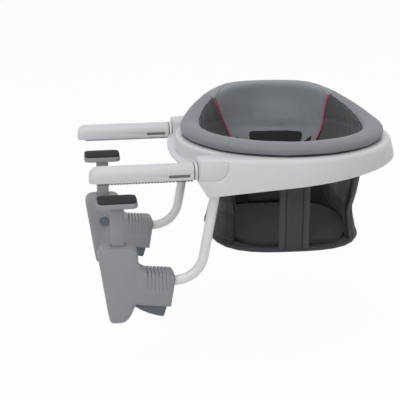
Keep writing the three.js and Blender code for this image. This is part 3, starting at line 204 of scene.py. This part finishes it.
def moulded_plastic(name, colour, gloss, grain, hollow_shade=None):
    """Injection-moulded plastic: slight flow marks, a fine grain, and scuffs that dull it.
    A function may mark where shade falls in its hollows, from 0 to 1, and there the colour is painted darker
    as painted shade."""
    material, shader, place = surface(name)
    flow = clouds(place, 14.0)
    scuffs = clouds(place, 120.0, 6.0)
    tint = mixed(flow * 0.7 + scuffs * 0.3, shaded(colour, 0.94), shaded(colour, 1.05))
    if hollow_shade is not None:
        # Painted shade in the hollows: the same plastic, darkened where shade falls.
        tint = mixed(hollow_shade(place) * 0.7, tint, shaded(colour, 0.16))
    tint.into(shader.inputs["Base Color"])
    (gloss - 0.06 + scuffs * 0.14).into(shader.inputs["Roughness"])
    shader.inputs["Specular IOR Level"].default_value = 0.42
    speckle = clouds(place, 1500.0, 3.0)
    relief = place.node("ShaderNodeBump", {}, {"Strength": 0.5, "Distance": grain, "Height": speckle})
    relief.into(shader.inputs["Normal"])
    return material


def applied(piece, name, kind, **settings):
    """Adds a modifier to the active piece and applies it."""
    modifier = piece.modifiers.new(name, kind)
    for setting, value in settings.items():
        setattr(modifier, setting, value)
    bpy.ops.object.modifier_apply(modifier=name)


def smoothed_copy(node, name, edge_radius):
    """A copy of a CAD node with its corners merged, its edges rounded and its curves shaded smooth."""
    bpy.ops.object.select_all(action="DESELECT")
    copy = bpy.data.objects.new(name, nodes[node].data.copy())
    scene.collection.objects.link(copy)
    bpy.context.view_layer.objects.active = copy
    copy.select_set(True)
    bpy.ops.object.mode_set(mode="EDIT")
    bpy.ops.mesh.select_all(action="SELECT")
    bpy.ops.mesh.remove_doubles(threshold=0.00002)
    if edge_radius:
        bpy.ops.mesh.dissolve_limited(angle_limit=math.radians(0.6))
    bpy.ops.object.mode_set(mode="OBJECT")
    if edge_radius:
        applied(copy, "edge_rounding", "BEVEL", width=edge_radius, segments=2, angle_limit=math.radians(42))
    bpy.ops.object.shade_smooth_by_angle(angle=math.radians(38))
    return copy


def fit(piece, material, body, node):
    """Gives a finished piece its material and body, and hides the CAD node that it stands for."""
    piece.data.materials.clear()
    piece.data.materials.append(material)
    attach(piece, body)
    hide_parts(node)


def mould(node, name, edge_radius, material, body):
    """A smoothed copy of a CAD node, fitted in the node's place."""
    fit(smoothed_copy(node, name, edge_radius), material, body, node)


white = paint(210, 211, 214)
white_moulding = moulded_plastic("white_moulding", white, gloss=0.42, grain=0.00006)
mould("frame_shell", "frame_moulding", 0.0006, white_moulding, "frame")


# Shoulder covers, arm shells and collars
# Thin white caps snap into the shoulders. Each arm is a half-round white moulding with a slot on both sides,
# and a white collar closes the joint between arm and shoulder. The slots and the joints beside the collars get
# painted shade.
def eased(value, start, end):
    """0 below start, 1 above end and a smooth rise between them."""
    limits = {"Value": value, "From Min": start, "From Max": end}
    return value.node("ShaderNodeMapRange", {"interpolation_type": "SMOOTHSTEP"}, limits)


def parted(place):
    """The three coordinates of a place as tones."""
    split = place.tree.nodes.new("ShaderNodeSeparateXYZ")
    place.tree.links.new(place.socket, split.inputs[0])
    return [Tone(place.tree, output) for output in split.outputs]


def within(distance, inner, outer):
    """1 where a distance is less than inner on either side, falling to 0 at outer."""
    return 1 - eased(abs(distance), inner, outer)


def greater(first, second):
    """The greater one of two tones."""
    return first.maths("MAXIMUM", first, second)


sides = ("left", "right")
arm_offset = 0.1407
slot_middle = -0.0265
slot_level = 0.0088
collar_joints = (-0.0036, 0.0024)


def slot_and_joint_shade(place):
    """Painted shade: 1 inside the arms' slots and in the joints beside the collars, 0 on the skin round them.
    """
    x, y, height = parted(place)
    deep = within(abs(y) - arm_offset, 0.0143, 0.0151)
    in_band = within(height - slot_level, 0.0029, 0.0034)
    dark = deep * in_band * within(x - slot_middle, 0.0175, 0.019)
    for joint in collar_joints:
        dark = greater(dark, within(x - joint, 0.0007, 0.0013))
    return dark


slot_shaded_white = moulded_plastic("slot_shaded_white", white, gloss=0.42, grain=0.00006, hollow_shade=slot_and_joint_shade)
white_parts = (
    ("shoulder_cover", 0.0004, white_moulding),
    ("arm_shell", 0.0006, slot_shaded_white),
    ("arm_collar", 0.0005, slot_shaded_white),
)
for side in sides:
    for part, radius, plastic in white_parts:
        mould(f"{side}_{part}", f"{side}_{part}_moulding", radius, plastic, "frame")


# Arm pads
# A strip of grey grip rubber under each arm, with fine teeth along both edges. It is pressed into the shell.
def toothed_strip(node, name, pitch, tooth):
    """A strip in the place of a CAD pad: a flat middle, and one tooth repeated along each long edge."""
    corners = [Vector(corner) for corner in nodes[node].bound_box]
    low = Vector([min(corner[axis] for corner in corners) for axis in range(3)])
    high = Vector([max(corner[axis] for corner in corners) for axis in range(3)])
    middle = (low + high) / 2
    size = high - low
    count = round(size.x / pitch)
    step = size.x / count
    first = low.x + step * 0.3
    inset = size.y / 2 - tooth / 2 + 0.0008
    web = Vector((middle.x, middle.y, high.z - size.z * 0.3))
    blocks = [(web, (size.x - step * 0.5, size.y - 1.4 * tooth, size.z * 0.6), 1)]
    for across in (-inset, inset):
        blocks.append((Vector((first, middle.y + across, middle.z)), (step * 0.6, tooth, size.z), count))
    made = []
    for place, dimensions, repeats in blocks:
        bpy.ops.object.select_all(action="DESELECT")
        bpy.ops.mesh.primitive_cube_add(size=1, location=place)
        block = bpy.context.object
        block.scale = dimensions
        bpy.ops.object.transform_apply(location=True, rotation=True, scale=True)
        if repeats > 1:
            row = {"use_relative_offset": False, "use_constant_offset": True}
            applied(block, "teeth", "ARRAY", count=repeats, constant_offset_displace=(step, 0, 0), **row)
        applied(block, "edges", "BEVEL", width=0.00025, segments=2)
        made.append(block)
    for block in made:
        block.select_set(True)
    bpy.ops.object.join()
    strip = bpy.context.object
    strip.name = name
    bpy.ops.object.shade_smooth_by_angle(angle=math.radians(38))
    return strip


rubber_finish, rubber_shader, rubber_place = surface("grip_rubber")
rubber_dust = clouds(rubber_place, 240.0, 5.0)
mixed(rubber_dust, paint(34, 35, 37), paint(56, 58, 60)).into(rubber_shader.inputs["Base Color"])
(0.8 + rubber_dust * 0.15).into(rubber_shader.inputs["Roughness"])
rubber_relief = rubber_place.node(
    "ShaderNodeBump", {}, {"Strength": 0.6, "Distance": 0.0002, "Height": clouds(rubber_place, 900.0, 2.0)}
)
rubber_relief.into(rubber_shader.inputs["Normal"])
for side in sides:
    strip = toothed_strip(f"{side}_arm_pad", f"{side}_grip_strip", pitch=0.0046, tooth=0.0035)
    fit(strip, rubber_finish, "frame", f"{side}_arm_pad")


# Steel and slide pieces inside the frame
# Steel tubes stiffen the arms and run into the shoulders; dark plastic bushes and rings let things turn.
def coat(node, material):
    """Gives a finished material to a CAD node that keeps its shape."""
    nodes[node].material_slots[0].material = material


steel_finish, steel_shader, steel_place = surface("drawn_steel")
along_the_draw = {"Vector": steel_place, "Scale": (20.0, 700.0, 700.0)}
steel_streaks = steel_place.node("ShaderNodeMapping", {}, along_the_draw)
steel_lines = clouds(steel_streaks, 1.0, 4.0)
mixed(steel_lines, paint(136, 138, 142), paint(178, 180, 184)).into(steel_shader.inputs["Base Color"])
(0.28 + steel_lines * 0.16).into(steel_shader.inputs["Roughness"])
steel_shader.inputs["Metallic"].default_value = 1.0
slide_plastic = moulded_plastic("slide_plastic", paint(58, 59, 62), gloss=0.4, grain=0.00004)
for side in sides:
    coat(f"{side}_arm_core", steel_finish)
    coat(f"{side}_socket_bush", slide_plastic)
coat("glide_ring", slide_plastic)
coat("frame_base_plate", white_moulding)

# Clamp tubes
# Steel tube bent in one plane and powder coated white. Its stub turns in the shoulder's bush.
tube_coat, tube_shader, tube_place = surface("white_powder_coat")
tube_peel = clouds(tube_place, 420.0, 3.0)
tube_tint = mixed(clouds(tube_place, 25.0), paint(222, 222, 226), paint(238, 238, 241))
tube_tint.into(tube_shader.inputs["Base Color"])
(0.26 + tube_peel * 0.12).into(tube_shader.inputs["Roughness"])
tube_shader.inputs["Coat Weight"].default_value = 0.3
peel_bump = {"Strength": 0.25, "Distance": 0.0002, "Height": tube_peel}
tube_relief = tube_place.node("ShaderNodeBump", {}, peel_bump)
tube_relief.into(tube_shader.inputs["Normal"])
for side in sides:
    mould(f"{side}_clamp_tube", f"{side}_bent_tube", 0, tube_coat, f"{side}_clamp")

# Clamp housings
# Two grained grey halves that meet along the middle: a barrel for the jaw post and a ribbed handle.
grey_grain = moulded_plastic("grey_grained_plastic", paint(146, 148, 153), gloss=0.5, grain=0.0001)
slate_grain = moulded_plastic("slate_plastic", paint(98, 105, 115), gloss=0.48, grain=0.00008)
for side in sides:
    for half in ("outer", "inner"):
        casing = f"{side}_{half}_casing"
        mould(f"{side}_housing_{half}", casing, 0.0006, grey_grain, f"{side}_clamp")

# Jaws, triggers and release buttons
# The jaw slides out of the barrel on a grey post and carries a rubber pad; a slate trigger drives it up,
# and a slate button on the inner side lets it down. Pins, springs and the grip plate are steel.
moving_parts = (
    ("jaw_post", "post", 0.0012, grey_grain, "grey_plastic", "jaw"),
    ("jaw_head", "jaw_plate", 0.0016, grey_grain, "grey_plastic", "jaw"),
    ("jaw_pad", "jaw_grip", 0.001, rubber_finish, "rubber", "jaw"),
    ("trigger", "trigger_lever", 0.001, slate_grain, "slate_plastic", "trigger_body"),
    ("release_button", "button_cap", 0.0006, slate_grain, "slate_plastic", "button_body"),
)
for side in sides:
    for part, name, radius, finish, slot, body in moving_parts:
        mould(f"{side}_{part}", f"{side}_{name}", radius, finish, f"{side}_{body}")
    for part in ("trigger_pin", "trigger_spring", "grip_plate", "release_spring"):
        coat(f"{side}_{part}", steel_finish)

# Turntable, retainer and index lever
# A dark flanged ring carries the seat on the frame; a second one below holds it down and carries the
# lever, its pin and spring, and the index pin that finds the pockets in the frame.
mould("turntable_ring", "turntable", 0.0006, slide_plastic, "seat")
mould("retainer_ring", "retainer", 0.0004, slide_plastic, "seat")
mould("rotation_lever", "index_lever", 0.0006, slate_grain, "lever_body")
for part in ("lever_pin", "lever_spring", "index_pin"):
    coat(part, steel_finish)

# Rim bolster
# A foam roll round the turntable in a smooth grey coated cover, stapled under its flange.
# The cover is pulled tight over the foam, so it is full and almost free of folds.
seat_axis = Vector((0.166, 0, 0.0042))
seat_turn = math.radians(2.5)


def round_the_seat(place):
    """Angle from the seat's back in radians, distance from its axis, and height, as tones."""
    x, y, height = parted(place)
    out = x - seat_axis.x
    across = out * math.cos(seat_turn) - y * math.sin(seat_turn)
    along = out * math.sin(seat_turn) + y * math.cos(seat_turn)
    span = across * across + along * along
    return across.maths("ARCTAN2", across, along), span.maths("SQRT", span), height - seat_axis.z


def ridge(distance, width):
    """1 on a line, falling to 0 at a distance of width on both sides."""
    return within(distance, width * 0.2, width)


def waves(along, rate):
    """A sine along a distance or an angle, at a rate in radians."""
    return along.maths("SINE", along * rate)


stitch_pitch = 0.0034
stitch_width = 0.0007


def thread(distance, along, pitch=stitch_pitch):
    """Stitches along a seam: short dashes of thread, pitch apart."""
    return ridge(distance, stitch_width) * eased(waves(along, 2 * math.pi / pitch), -0.1, 0.3)


def no_seam(angle, radius, height):
    """For a cover without grooves or stitches."""
    return None, None


rim_radius = 0.14


def woven_cover(name, colour, pitch, depth, sheen, sewn=no_seam, below=1.0):
    """Woven cover: threads cross round and up the seat, with a soft change of tone and a fuzz of light.
    A function gives its grooves and stitches, each from 0 to 1: the grooves are painted darker, as painted
    shade, and the stitches lighter, which on the divider also carries its welts' painted highlight. below is
    its share of colour in the tub: painted shade inside the tub, with some of the cloth's own darker colour."""
    material, shader, place = surface(name)
    angle, radius, height = round_the_seat(place)
    turns = 2 * math.pi / pitch
    weave = waves(angle, rim_radius * turns) * waves(height, turns)
    slub = clouds(place, 380.0, 4.0)
    tone = clouds(place, 11.0, 3.0) * 0.6 + slub * 0.25 + weave * 0.08 + 0.07
    dye_and_painted_light = mixed(tone, shaded(colour, 0.86), shaded(colour, 1.14))
    if below < 1:
        # Below the ring the cloth is painted darker: painted shade inside the tub, with some of the cloth's
        # own darker colour.
        dye_and_painted_light = mixed(eased(height, -0.058, -0.03), shaded(colour, below), dye_and_painted_light)
    pile = weave * 0.6 + slub * 0.8
    groove, stitches_and_highlight = sewn(angle, radius, height)
    if groove is not None:
        # Grooves are painted darker: painted shade in the seams.
        dye_and_painted_light = mixed(groove * 0.75, dye_and_painted_light, shaded(colour, 0.3))
        pile = pile - groove * (0.0012 / depth)
    if stitches_and_highlight is not None:
        # Stitches are painted as lighter thread; on the divider this also paints the welts' highlight.
        dye_and_painted_light = mixed(stitches_and_highlight * 0.5, dye_and_painted_light, shaded(colour, 1.7))
        pile = pile + stitches_and_highlight * (0.0003 / depth)
    dye_and_painted_light.into(shader.inputs["Base Color"])
    (0.72 + slub * 0.2).into(shader.inputs["Roughness"])
    shader.inputs["Sheen Weight"].default_value = sheen
    shader.inputs["Sheen Roughness"].default_value = 0.5
    shader.inputs["Specular IOR Level"].default_value = 0.3
    relief = place.node("ShaderNodeBump", {}, {"Strength": 0.6, "Distance": depth, "Height": pile})
    relief.into(shader.inputs["Normal"])
    return material


def seat_polar(point):
    """Angle from the seat's back, distance from its axis, and height above the frame's level."""
    offset = point - seat_axis
    angle = math.atan2(offset.x, offset.y) - seat_turn
    return math.remainder(angle, 2 * math.pi), math.hypot(offset.x, offset.y), offset.z


def unit(value):
    """A value kept between 0 and 1."""
    return min(max(value, 0), 1)


def set_round(vertex, turn, radius):
    """Puts a point at an angle and a distance round the seat's axis; its height stays."""
    vertex.co.x = seat_axis.x + radius * math.sin(turn)
    vertex.co.y = radius * math.cos(turn)


def outward(point):
    """The level direction from the seat's axis to a point."""
    return Vector((point.x - seat_axis.x, point.y, 0)).normalized()


def with_normals(piece):
    """Each point of a mesh, with its normal as it was before any point moved."""
    normals = [vertex.normal.copy() for vertex in piece.data.vertices]
    return zip(piece.data.vertices, normals)


def crease(piece, depth_at):
    """Moves each point of a cover along its normal, by the depth that a function of its place gives."""
    for vertex, normal in with_normals(piece):
        vertex.co += normal * depth_at(vertex.co)


def swell_inside(piece, depth_at):
    """Moves the points of a cover that face the seat's axis towards it."""
    for vertex, normal in with_normals(piece):
        inward = -outward(vertex.co)
        vertex.co += inward * (max(normal.dot(inward), 0) * depth_at(vertex.co))


def draw_in(piece, tuck):
    """Makes a padded solid thinner, but no shorter round the seat, so that neighbours meet at their seam."""
    for vertex, normal in with_normals(piece):
        offset = vertex.co - seat_axis
        tangent = Vector((-offset.y, offset.x, 0)).normalized()
        vertex.co -= (normal - tangent * normal.dot(tangent)) * tuck


most_askew = math.radians(4.5)
joint_angle = math.radians(49)
joint_closing = 0.0015


def hang_askew(piece):
    """Turns the middle heights of the lining a little round the seat, as its covers hang in use."""
    for vertex in piece.data.vertices:
        angle, radius, height = seat_polar(vertex.co)
        above = unit((0.07 - height) / 0.065)
        share = above if height > 0 else unit((height + 0.06) / 0.05)
        beside = unit((math.radians(110) - abs(angle)) / math.radians(55))
        inside = unit((0.152 - radius) / 0.012)
        turn = seat_turn + angle + most_askew * share * share * (3 - 2 * share) * beside * inside
        set_round(vertex, turn, radius)


def close_the_joint(piece, way):
    """Draws the ends of the rim's roll and of the back pad over the rim towards each other."""
    for vertex in piece.data.vertices:
        angle, radius, height = seat_polar(vertex.co)
        off_joint = abs(abs(angle) - joint_angle) * radius
        near = unit(1 - off_joint / 0.01) * unit((height - 0.03) / 0.004)
        turn = seat_turn + angle + math.copysign(way * joint_closing * near / radius, angle)
        set_round(vertex, turn, radius)


filling_steps = 20


def stuffed_copy(node, name, voxel, tuck, swell):
    """A padded piece: the CAD solid drawn in by tuck, remeshed, then blown up by cloth, by swell at most."""
    piece = smoothed_copy(node, name, 0)
    draw_in(piece, tuck)
    applied(piece, "even_mesh", "REMESH", mode="VOXEL", voxel_size=voxel)
    applied(piece, "soft_edges", "SMOOTH", factor=0.5, iterations=2)
    start = [vertex.co.copy() for vertex in piece.data.vertices]
    filling = piece.modifiers.new("filling", "CLOTH")
    filling.settings.quality = 4
    filling.settings.mass = 0.2
    filling.settings.bending_stiffness = 0.6
    filling.settings.use_pressure = True
    filling.settings.uniform_pressure_force = 4
    filling.settings.effector_weights.gravity = 0
    filling.point_cache.frame_end = filling_steps
    for step in range(1, filling_steps + 1):
        scene.frame_set(step)
    bpy.ops.object.modifier_apply(modifier="filling")
    scene.frame_set(1)
    for vertex, before in zip(piece.data.vertices, start):
        move = vertex.co - before
        if move.length > swell:
            vertex.co = before + move * (swell / move.length)
    applied(piece, "drape", "SMOOTH", factor=0.5, iterations=4)
    applied(piece, "finer", "SUBSURF", levels=1, render_levels=1)
    bpy.ops.object.shade_smooth()
    return piece


coated_grey = woven_cover("coated_grey_cover", paint(134, 136, 143), pitch=0.0009, depth=0.00008, sheen=0.25)
bolster = stuffed_copy("rim_bolster", "rim_roll", voxel=0.0024, tuck=0.0004, swell=0.0012)
crease(bolster, lambda point: 0.0005 * noise.noise(point * 22) + 0.0002 * noise.noise(point * 70))
close_the_joint(bolster, -1)
fit(bolster, coated_grey, "seat", "rim_bolster")


# Back pad
# A foam pad in grey woven cloth that wraps over the rim at the back and hangs down inside the tub.
# A seam runs from the top of each red cord up over the rim, where the pad's cover meets the rim's.
def back_seam(angle, radius, height):
    """The seam over the rim: at its inner edge beside the cords, behind its crest in the middle."""
    off_middle = abs(angle)
    line = radius - (0.155 - eased(off_middle, 0.34, 0.84) * 0.0205)
    on_top = eased(height, 0.05, 0.06) * (1 - eased(off_middle, 0.74, 0.8)) * 0.6
    return ridge(line, 0.002) * on_top, thread(line + 0.004, angle * rim_radius, 0.0036) * on_top


def back_form(point):
    """The foam's bulge above the patch, and soft creases that run down the pad."""
    angle, _, height = seat_polar(point)
    bulge = math.exp(-((height - 0.026) / 0.024) ** 2 - ((angle - 0.1) / 0.36) ** 2)
    wave = noise.noise(Vector((angle * 7, height * 8, 1.3)))
    return 0.0068 * bulge + 0.0018 * wave


back_weave = {"pitch": 0.0011, "depth": 0.0001, "sheen": 0.3}
# Below the ring its colour falls to a quarter: painted shade inside the tub, with some of the cloth's own
# darker colour.
back_cloth = woven_cover("grey_back_cloth", paint(142, 146, 152), **back_weave, sewn=back_seam, below=0.25)
back = stuffed_copy("back_pad", "back_cushion", voxel=0.0028, tuck=0.0008, swell=0.0012)
swell_inside(back, back_form)
close_the_joint(back, 1)
hang_askew(back)
fit(back, back_cloth, "seat", "back_pad")


# Side panels
# Dark mesh over thin foam, sewn between the back pad and the leg openings, with loose folds in front.
def meet_the_cord(panel):
    """Draws a panel up under the rim, and its back edge towards the cord and out to the back pad's face."""
    for vertex in panel.data.vertices:
        angle, radius, height = seat_polar(vertex.co)
        seam = math.radians(16 + 33 * unit((height + 0.128) / 0.2015))
        near = unit(1 - (abs(angle) - seam) * radius / 0.014)
        turn = seat_turn + angle - math.copysign(near * 0.0016 / radius, angle)
        set_round(vertex, turn, radius - near * 0.0024)
        vertex.co.z += 0.0022 * unit((height - 0.012) / 0.02)


def below_the_rim(point):
    """Fills the step under the rim, so that the panel runs down in one sweep."""
    height = seat_polar(point)[2]
    return 0.0028 * unit((0.034 - height) / 0.01) * unit((height + 0.035) / 0.05)


mesh_weave = {"pitch": 0.0022, "depth": 0.0004, "sheen": 0.2}
# Below the ring its colour falls to 0.3 of it: painted shade inside the tub, with some of the cloth's own
# darker colour.
side_mesh = woven_cover("dark_side_mesh", paint(88, 90, 93), **mesh_weave, below=0.3)
for side, sign in (("left", -1), ("right", 1)):
    cover = f"{side}_side_cover"
    panel = stuffed_copy(f"{side}_side_panel", cover, voxel=0.0026, tuck=0.0004, swell=0.0008)

    def folds(point):
        angle, _, height = seat_polar(point)
        slack = unit((abs(angle) - 0.9) / 0.5)
        wave = noise.noise(Vector((angle * 22 + height * 12, height * 7, 3.1 * sign)))
        upper = 0.3 + 0.7 * unit((height + 0.02) / 0.04)
        return slack * upper * 0.0022 * wave + 0.0004 * noise.noise(point * 40)

    crease(panel, folds)
    swell_inside(panel, below_the_rim)
    meet_the_cord(panel)
    hang_askew(panel)
    fit(panel, side_mesh, "seat", f"{side}_side_panel")

# Red piping
# A thin red cord sewn into each seam between back pad and side panel, from the rim down into the tub.
red_cord, red_shader, red_place = surface("red_piping_cord")
red_twist = clouds(red_place, 900.0, 3.0)
mixed(red_twist, paint(196, 78, 104), paint(220, 102, 128)).into(red_shader.inputs["Base Color"])
(0.55 + red_twist * 0.25).into(red_shader.inputs["Roughness"])
for side in sides:
    piping = smoothed_copy(f"{side}_piping", f"{side}_red_piping", 0)
    applied(piping, "round_cord", "SUBSURF", levels=2, render_levels=2)
    crease(piping, lambda point: -0.0007)
    hang_askew(piping)
    fit(piping, red_cord, "seat", f"{side}_piping")


# Tub cloth
# Charcoal cloth hangs from the turntable to the seat board round the back and sides. It is bound along the
# leg openings, drawn in half way down its sides, and creased where it is drawn in.
def sway(piece, offset_at):
    """Moves each point of a sheet away from the seat's axis, both faces alike."""
    for vertex in piece.data.vertices:
        vertex.co += outward(vertex.co) * offset_at(vertex.co)


def sew_to_board(sheet):
    """Draws the lowest row of a sheet down over the board's edge, where it is sewn."""
    for vertex in sheet.data.vertices:
        if seat_polar(vertex.co)[2] < -0.1266:
            vertex.co += outward(vertex.co) * 0.0022
            vertex.co.z -= 0.003


def hung_copy(node, name, levels):
    """A sheet from a CAD solid, with a finer mesh that can be creased."""
    sheet = smoothed_copy(node, name, 0)
    applied(sheet, "finer", "SUBSURF", subdivision_type="SIMPLE", levels=levels, render_levels=levels)
    return sheet


leg_edge = math.radians(136)
tub_radius = 0.13
cloth_weave = {"pitch": 0.0013, "depth": 0.00012, "sheen": 0.2}


def bound_edges(angle, radius, height):
    """Binding along both leg openings, with a line of stitches, and a hem at the board."""
    inside = (leg_edge - abs(angle)) * tub_radius
    hem = height + 0.124
    groove = greater(ridge(inside - 0.0095, 0.0014), ridge(hem, 0.0014))
    return groove, thread(inside - 0.0075, height) + thread(hem - 0.0025, angle * tub_radius)


def tub_creases(point):
    """Soft hanging folds, deepest where the cloth is drawn in beside the leg openings."""
    angle, _, height = seat_polar(point)
    free = unit((-height - 0.012) / 0.03) * unit((height + 0.127) / 0.02)
    at_side = unit((abs(angle) - 0.6) / 0.7)
    gather = math.exp(-((height + 0.081) / 0.03) ** 2) * at_side
    drape = noise.noise(Vector((angle * 9, height * 10, 0.7)))
    pulls = noise.noise(Vector((angle * 5 + height * 16, height * 46, 5.2)))
    return free * (0.0008 + 0.0014 * drape + 0.002 * gather * pulls)


charcoal_cloth = woven_cover("charcoal_cloth", paint(46, 47, 50), **cloth_weave, sewn=bound_edges)
tub = hung_copy("seat_skirt", "tub_cloth", 3)
sway(tub, tub_creases)
sew_to_board(tub)
bpy.ops.object.shade_smooth_by_angle(angle=math.radians(50))
fit(tub, charcoal_cloth, "seat", "seat_skirt")


# Leg divider
# A panel of the same cloth between the legs, sewn to the rim above and the board below.
# Two padded welts run down its sides, with a stitched groove beside each of them.
divider_radius = 0.128


def across_panel(angle):
    """Distance from the panel's middle line, from an angle round the seat as a number or a tone."""
    return (math.pi - abs(angle)) * divider_radius


def panel_seams(angle, radius, height):
    """A groove and a row of stitches beside each welt, which is painted a little lighter: a painted highlight
    on the raised welt.
    """
    across = across_panel(angle)
    # Painted highlight along the welt, given with the stitches.
    welt = ridge(across - 0.0195, 0.005) * 0.5
    return ridge(across - 0.0135, 0.0018), welt + thread(across - 0.0105, height)


def panel_welts(point):
    """Height of the welts and depth of the creases on the panel's outer face; its inner face stays."""
    angle, _, height = seat_polar(point)
    across = across_panel(angle)
    welt = 0.0022 * math.exp(-((across - 0.019) / 0.0034) ** 2)
    wrinkle = 0.0009 * noise.noise(Vector((across * 20, height * 60, 9.4)))
    return welt + wrinkle * unit((height + 0.075) / 0.03)


divider_cloth = woven_cover("divider_cloth", paint(68, 69, 73), **cloth_weave, sewn=panel_seams)
divider = hung_copy("crotch_panel", "leg_divider", 3)
sway(divider, panel_welts)
sew_to_board(divider)
bpy.ops.object.shade_smooth_by_angle(angle=math.radians(50))
fit(divider, divider_cloth, "seat", "crotch_panel")


# Seat board and cushion
# A board in charcoal cloth with a bound edge, and a crowned foam cushion on it.
def board_hem(angle, radius, height):
    """The groove of the bound edge and the stitches under it."""
    return ridge(height + 0.1285, 0.0012), thread(height + 0.1315, angle * tub_radius)


def sit_in(cushion):
    """Lowers the cushion's top towards the back pad, where it is pressed flat."""
    for vertex in cushion.data.vertices:
        angle, radius, height = seat_polar(vertex.co)
        share = max(1 - abs(angle) / 1.7, 0) * min(radius / 0.09, 1)
        vertex.co.z -= 0.0045 * share * unit((height + 0.128) / 0.005)


board_cloth = woven_cover("board_cloth", paint(60, 61, 65), **cloth_weave, sewn=board_hem)
mould("seat_board", "covered_board", 0.0008, board_cloth, "seat")
cushion_cloth = woven_cover("cushion_cloth", paint(38, 39, 42), pitch=0.0013, depth=0.00012, sheen=0.15)
cushion = stuffed_copy("seat_cushion", "seat_pad", voxel=0.0032, tuck=0.0003, swell=0.0016)
crease(cushion, lambda point: 0.0008 * noise.noise(point * 24))
sway(cushion, lambda point: 0.0032 * unit((abs(seat_polar(point)[0]) - 2.2) / 0.3))
sit_in(cushion)
fit(cushion, cushion_cloth, "seat", "seat_cushion")


# Lumbar patch, straps and buckle
# A black padded patch at the foot of the back; black webbing straps on both sides end in a plastic buckle.
def round_the_corners(patch):
    """Takes the patch's upper corners down in a curve and turns it a little round the back."""
    for vertex in patch.data.vertices:
        angle, radius, height = seat_polar(vertex.co)
        end = unit((abs(angle) - 0.3) / 0.08)
        if height > -0.006:
            vertex.co.z -= (height + 0.006) * 0.7 * end * end
        set_round(vertex, seat_turn + angle * 1.06 + 0.035, radius)


black_web = woven_cover("black_webbing", paint(27, 29, 28), pitch=0.0016, depth=0.0003, sheen=0.15)
patch = stuffed_copy("lumbar_patch", "black_patch", voxel=0.0025, tuck=0.0004, swell=0.001)
round_the_corners(patch)
hang_askew(patch)
fit(patch, black_web, "seat", "lumbar_patch")
for side in sides:
    webbing = hung_copy(f"{side}_waist_strap", f"{side}_webbing", 2)
    hang_askew(webbing)
    bpy.ops.object.shade_smooth_by_angle(angle=math.radians(40))
    fit(webbing, black_web, "seat", f"{side}_waist_strap")
black_plastic = moulded_plastic("black_plastic", paint(38, 39, 40), gloss=0.45, grain=0.00006)
mould("buckle_housing", "buckle", 0.0015, black_plastic, "seat")
mould("buckle_button", "buckle_key", 0.001, slate_grain, "buckle_press_body")
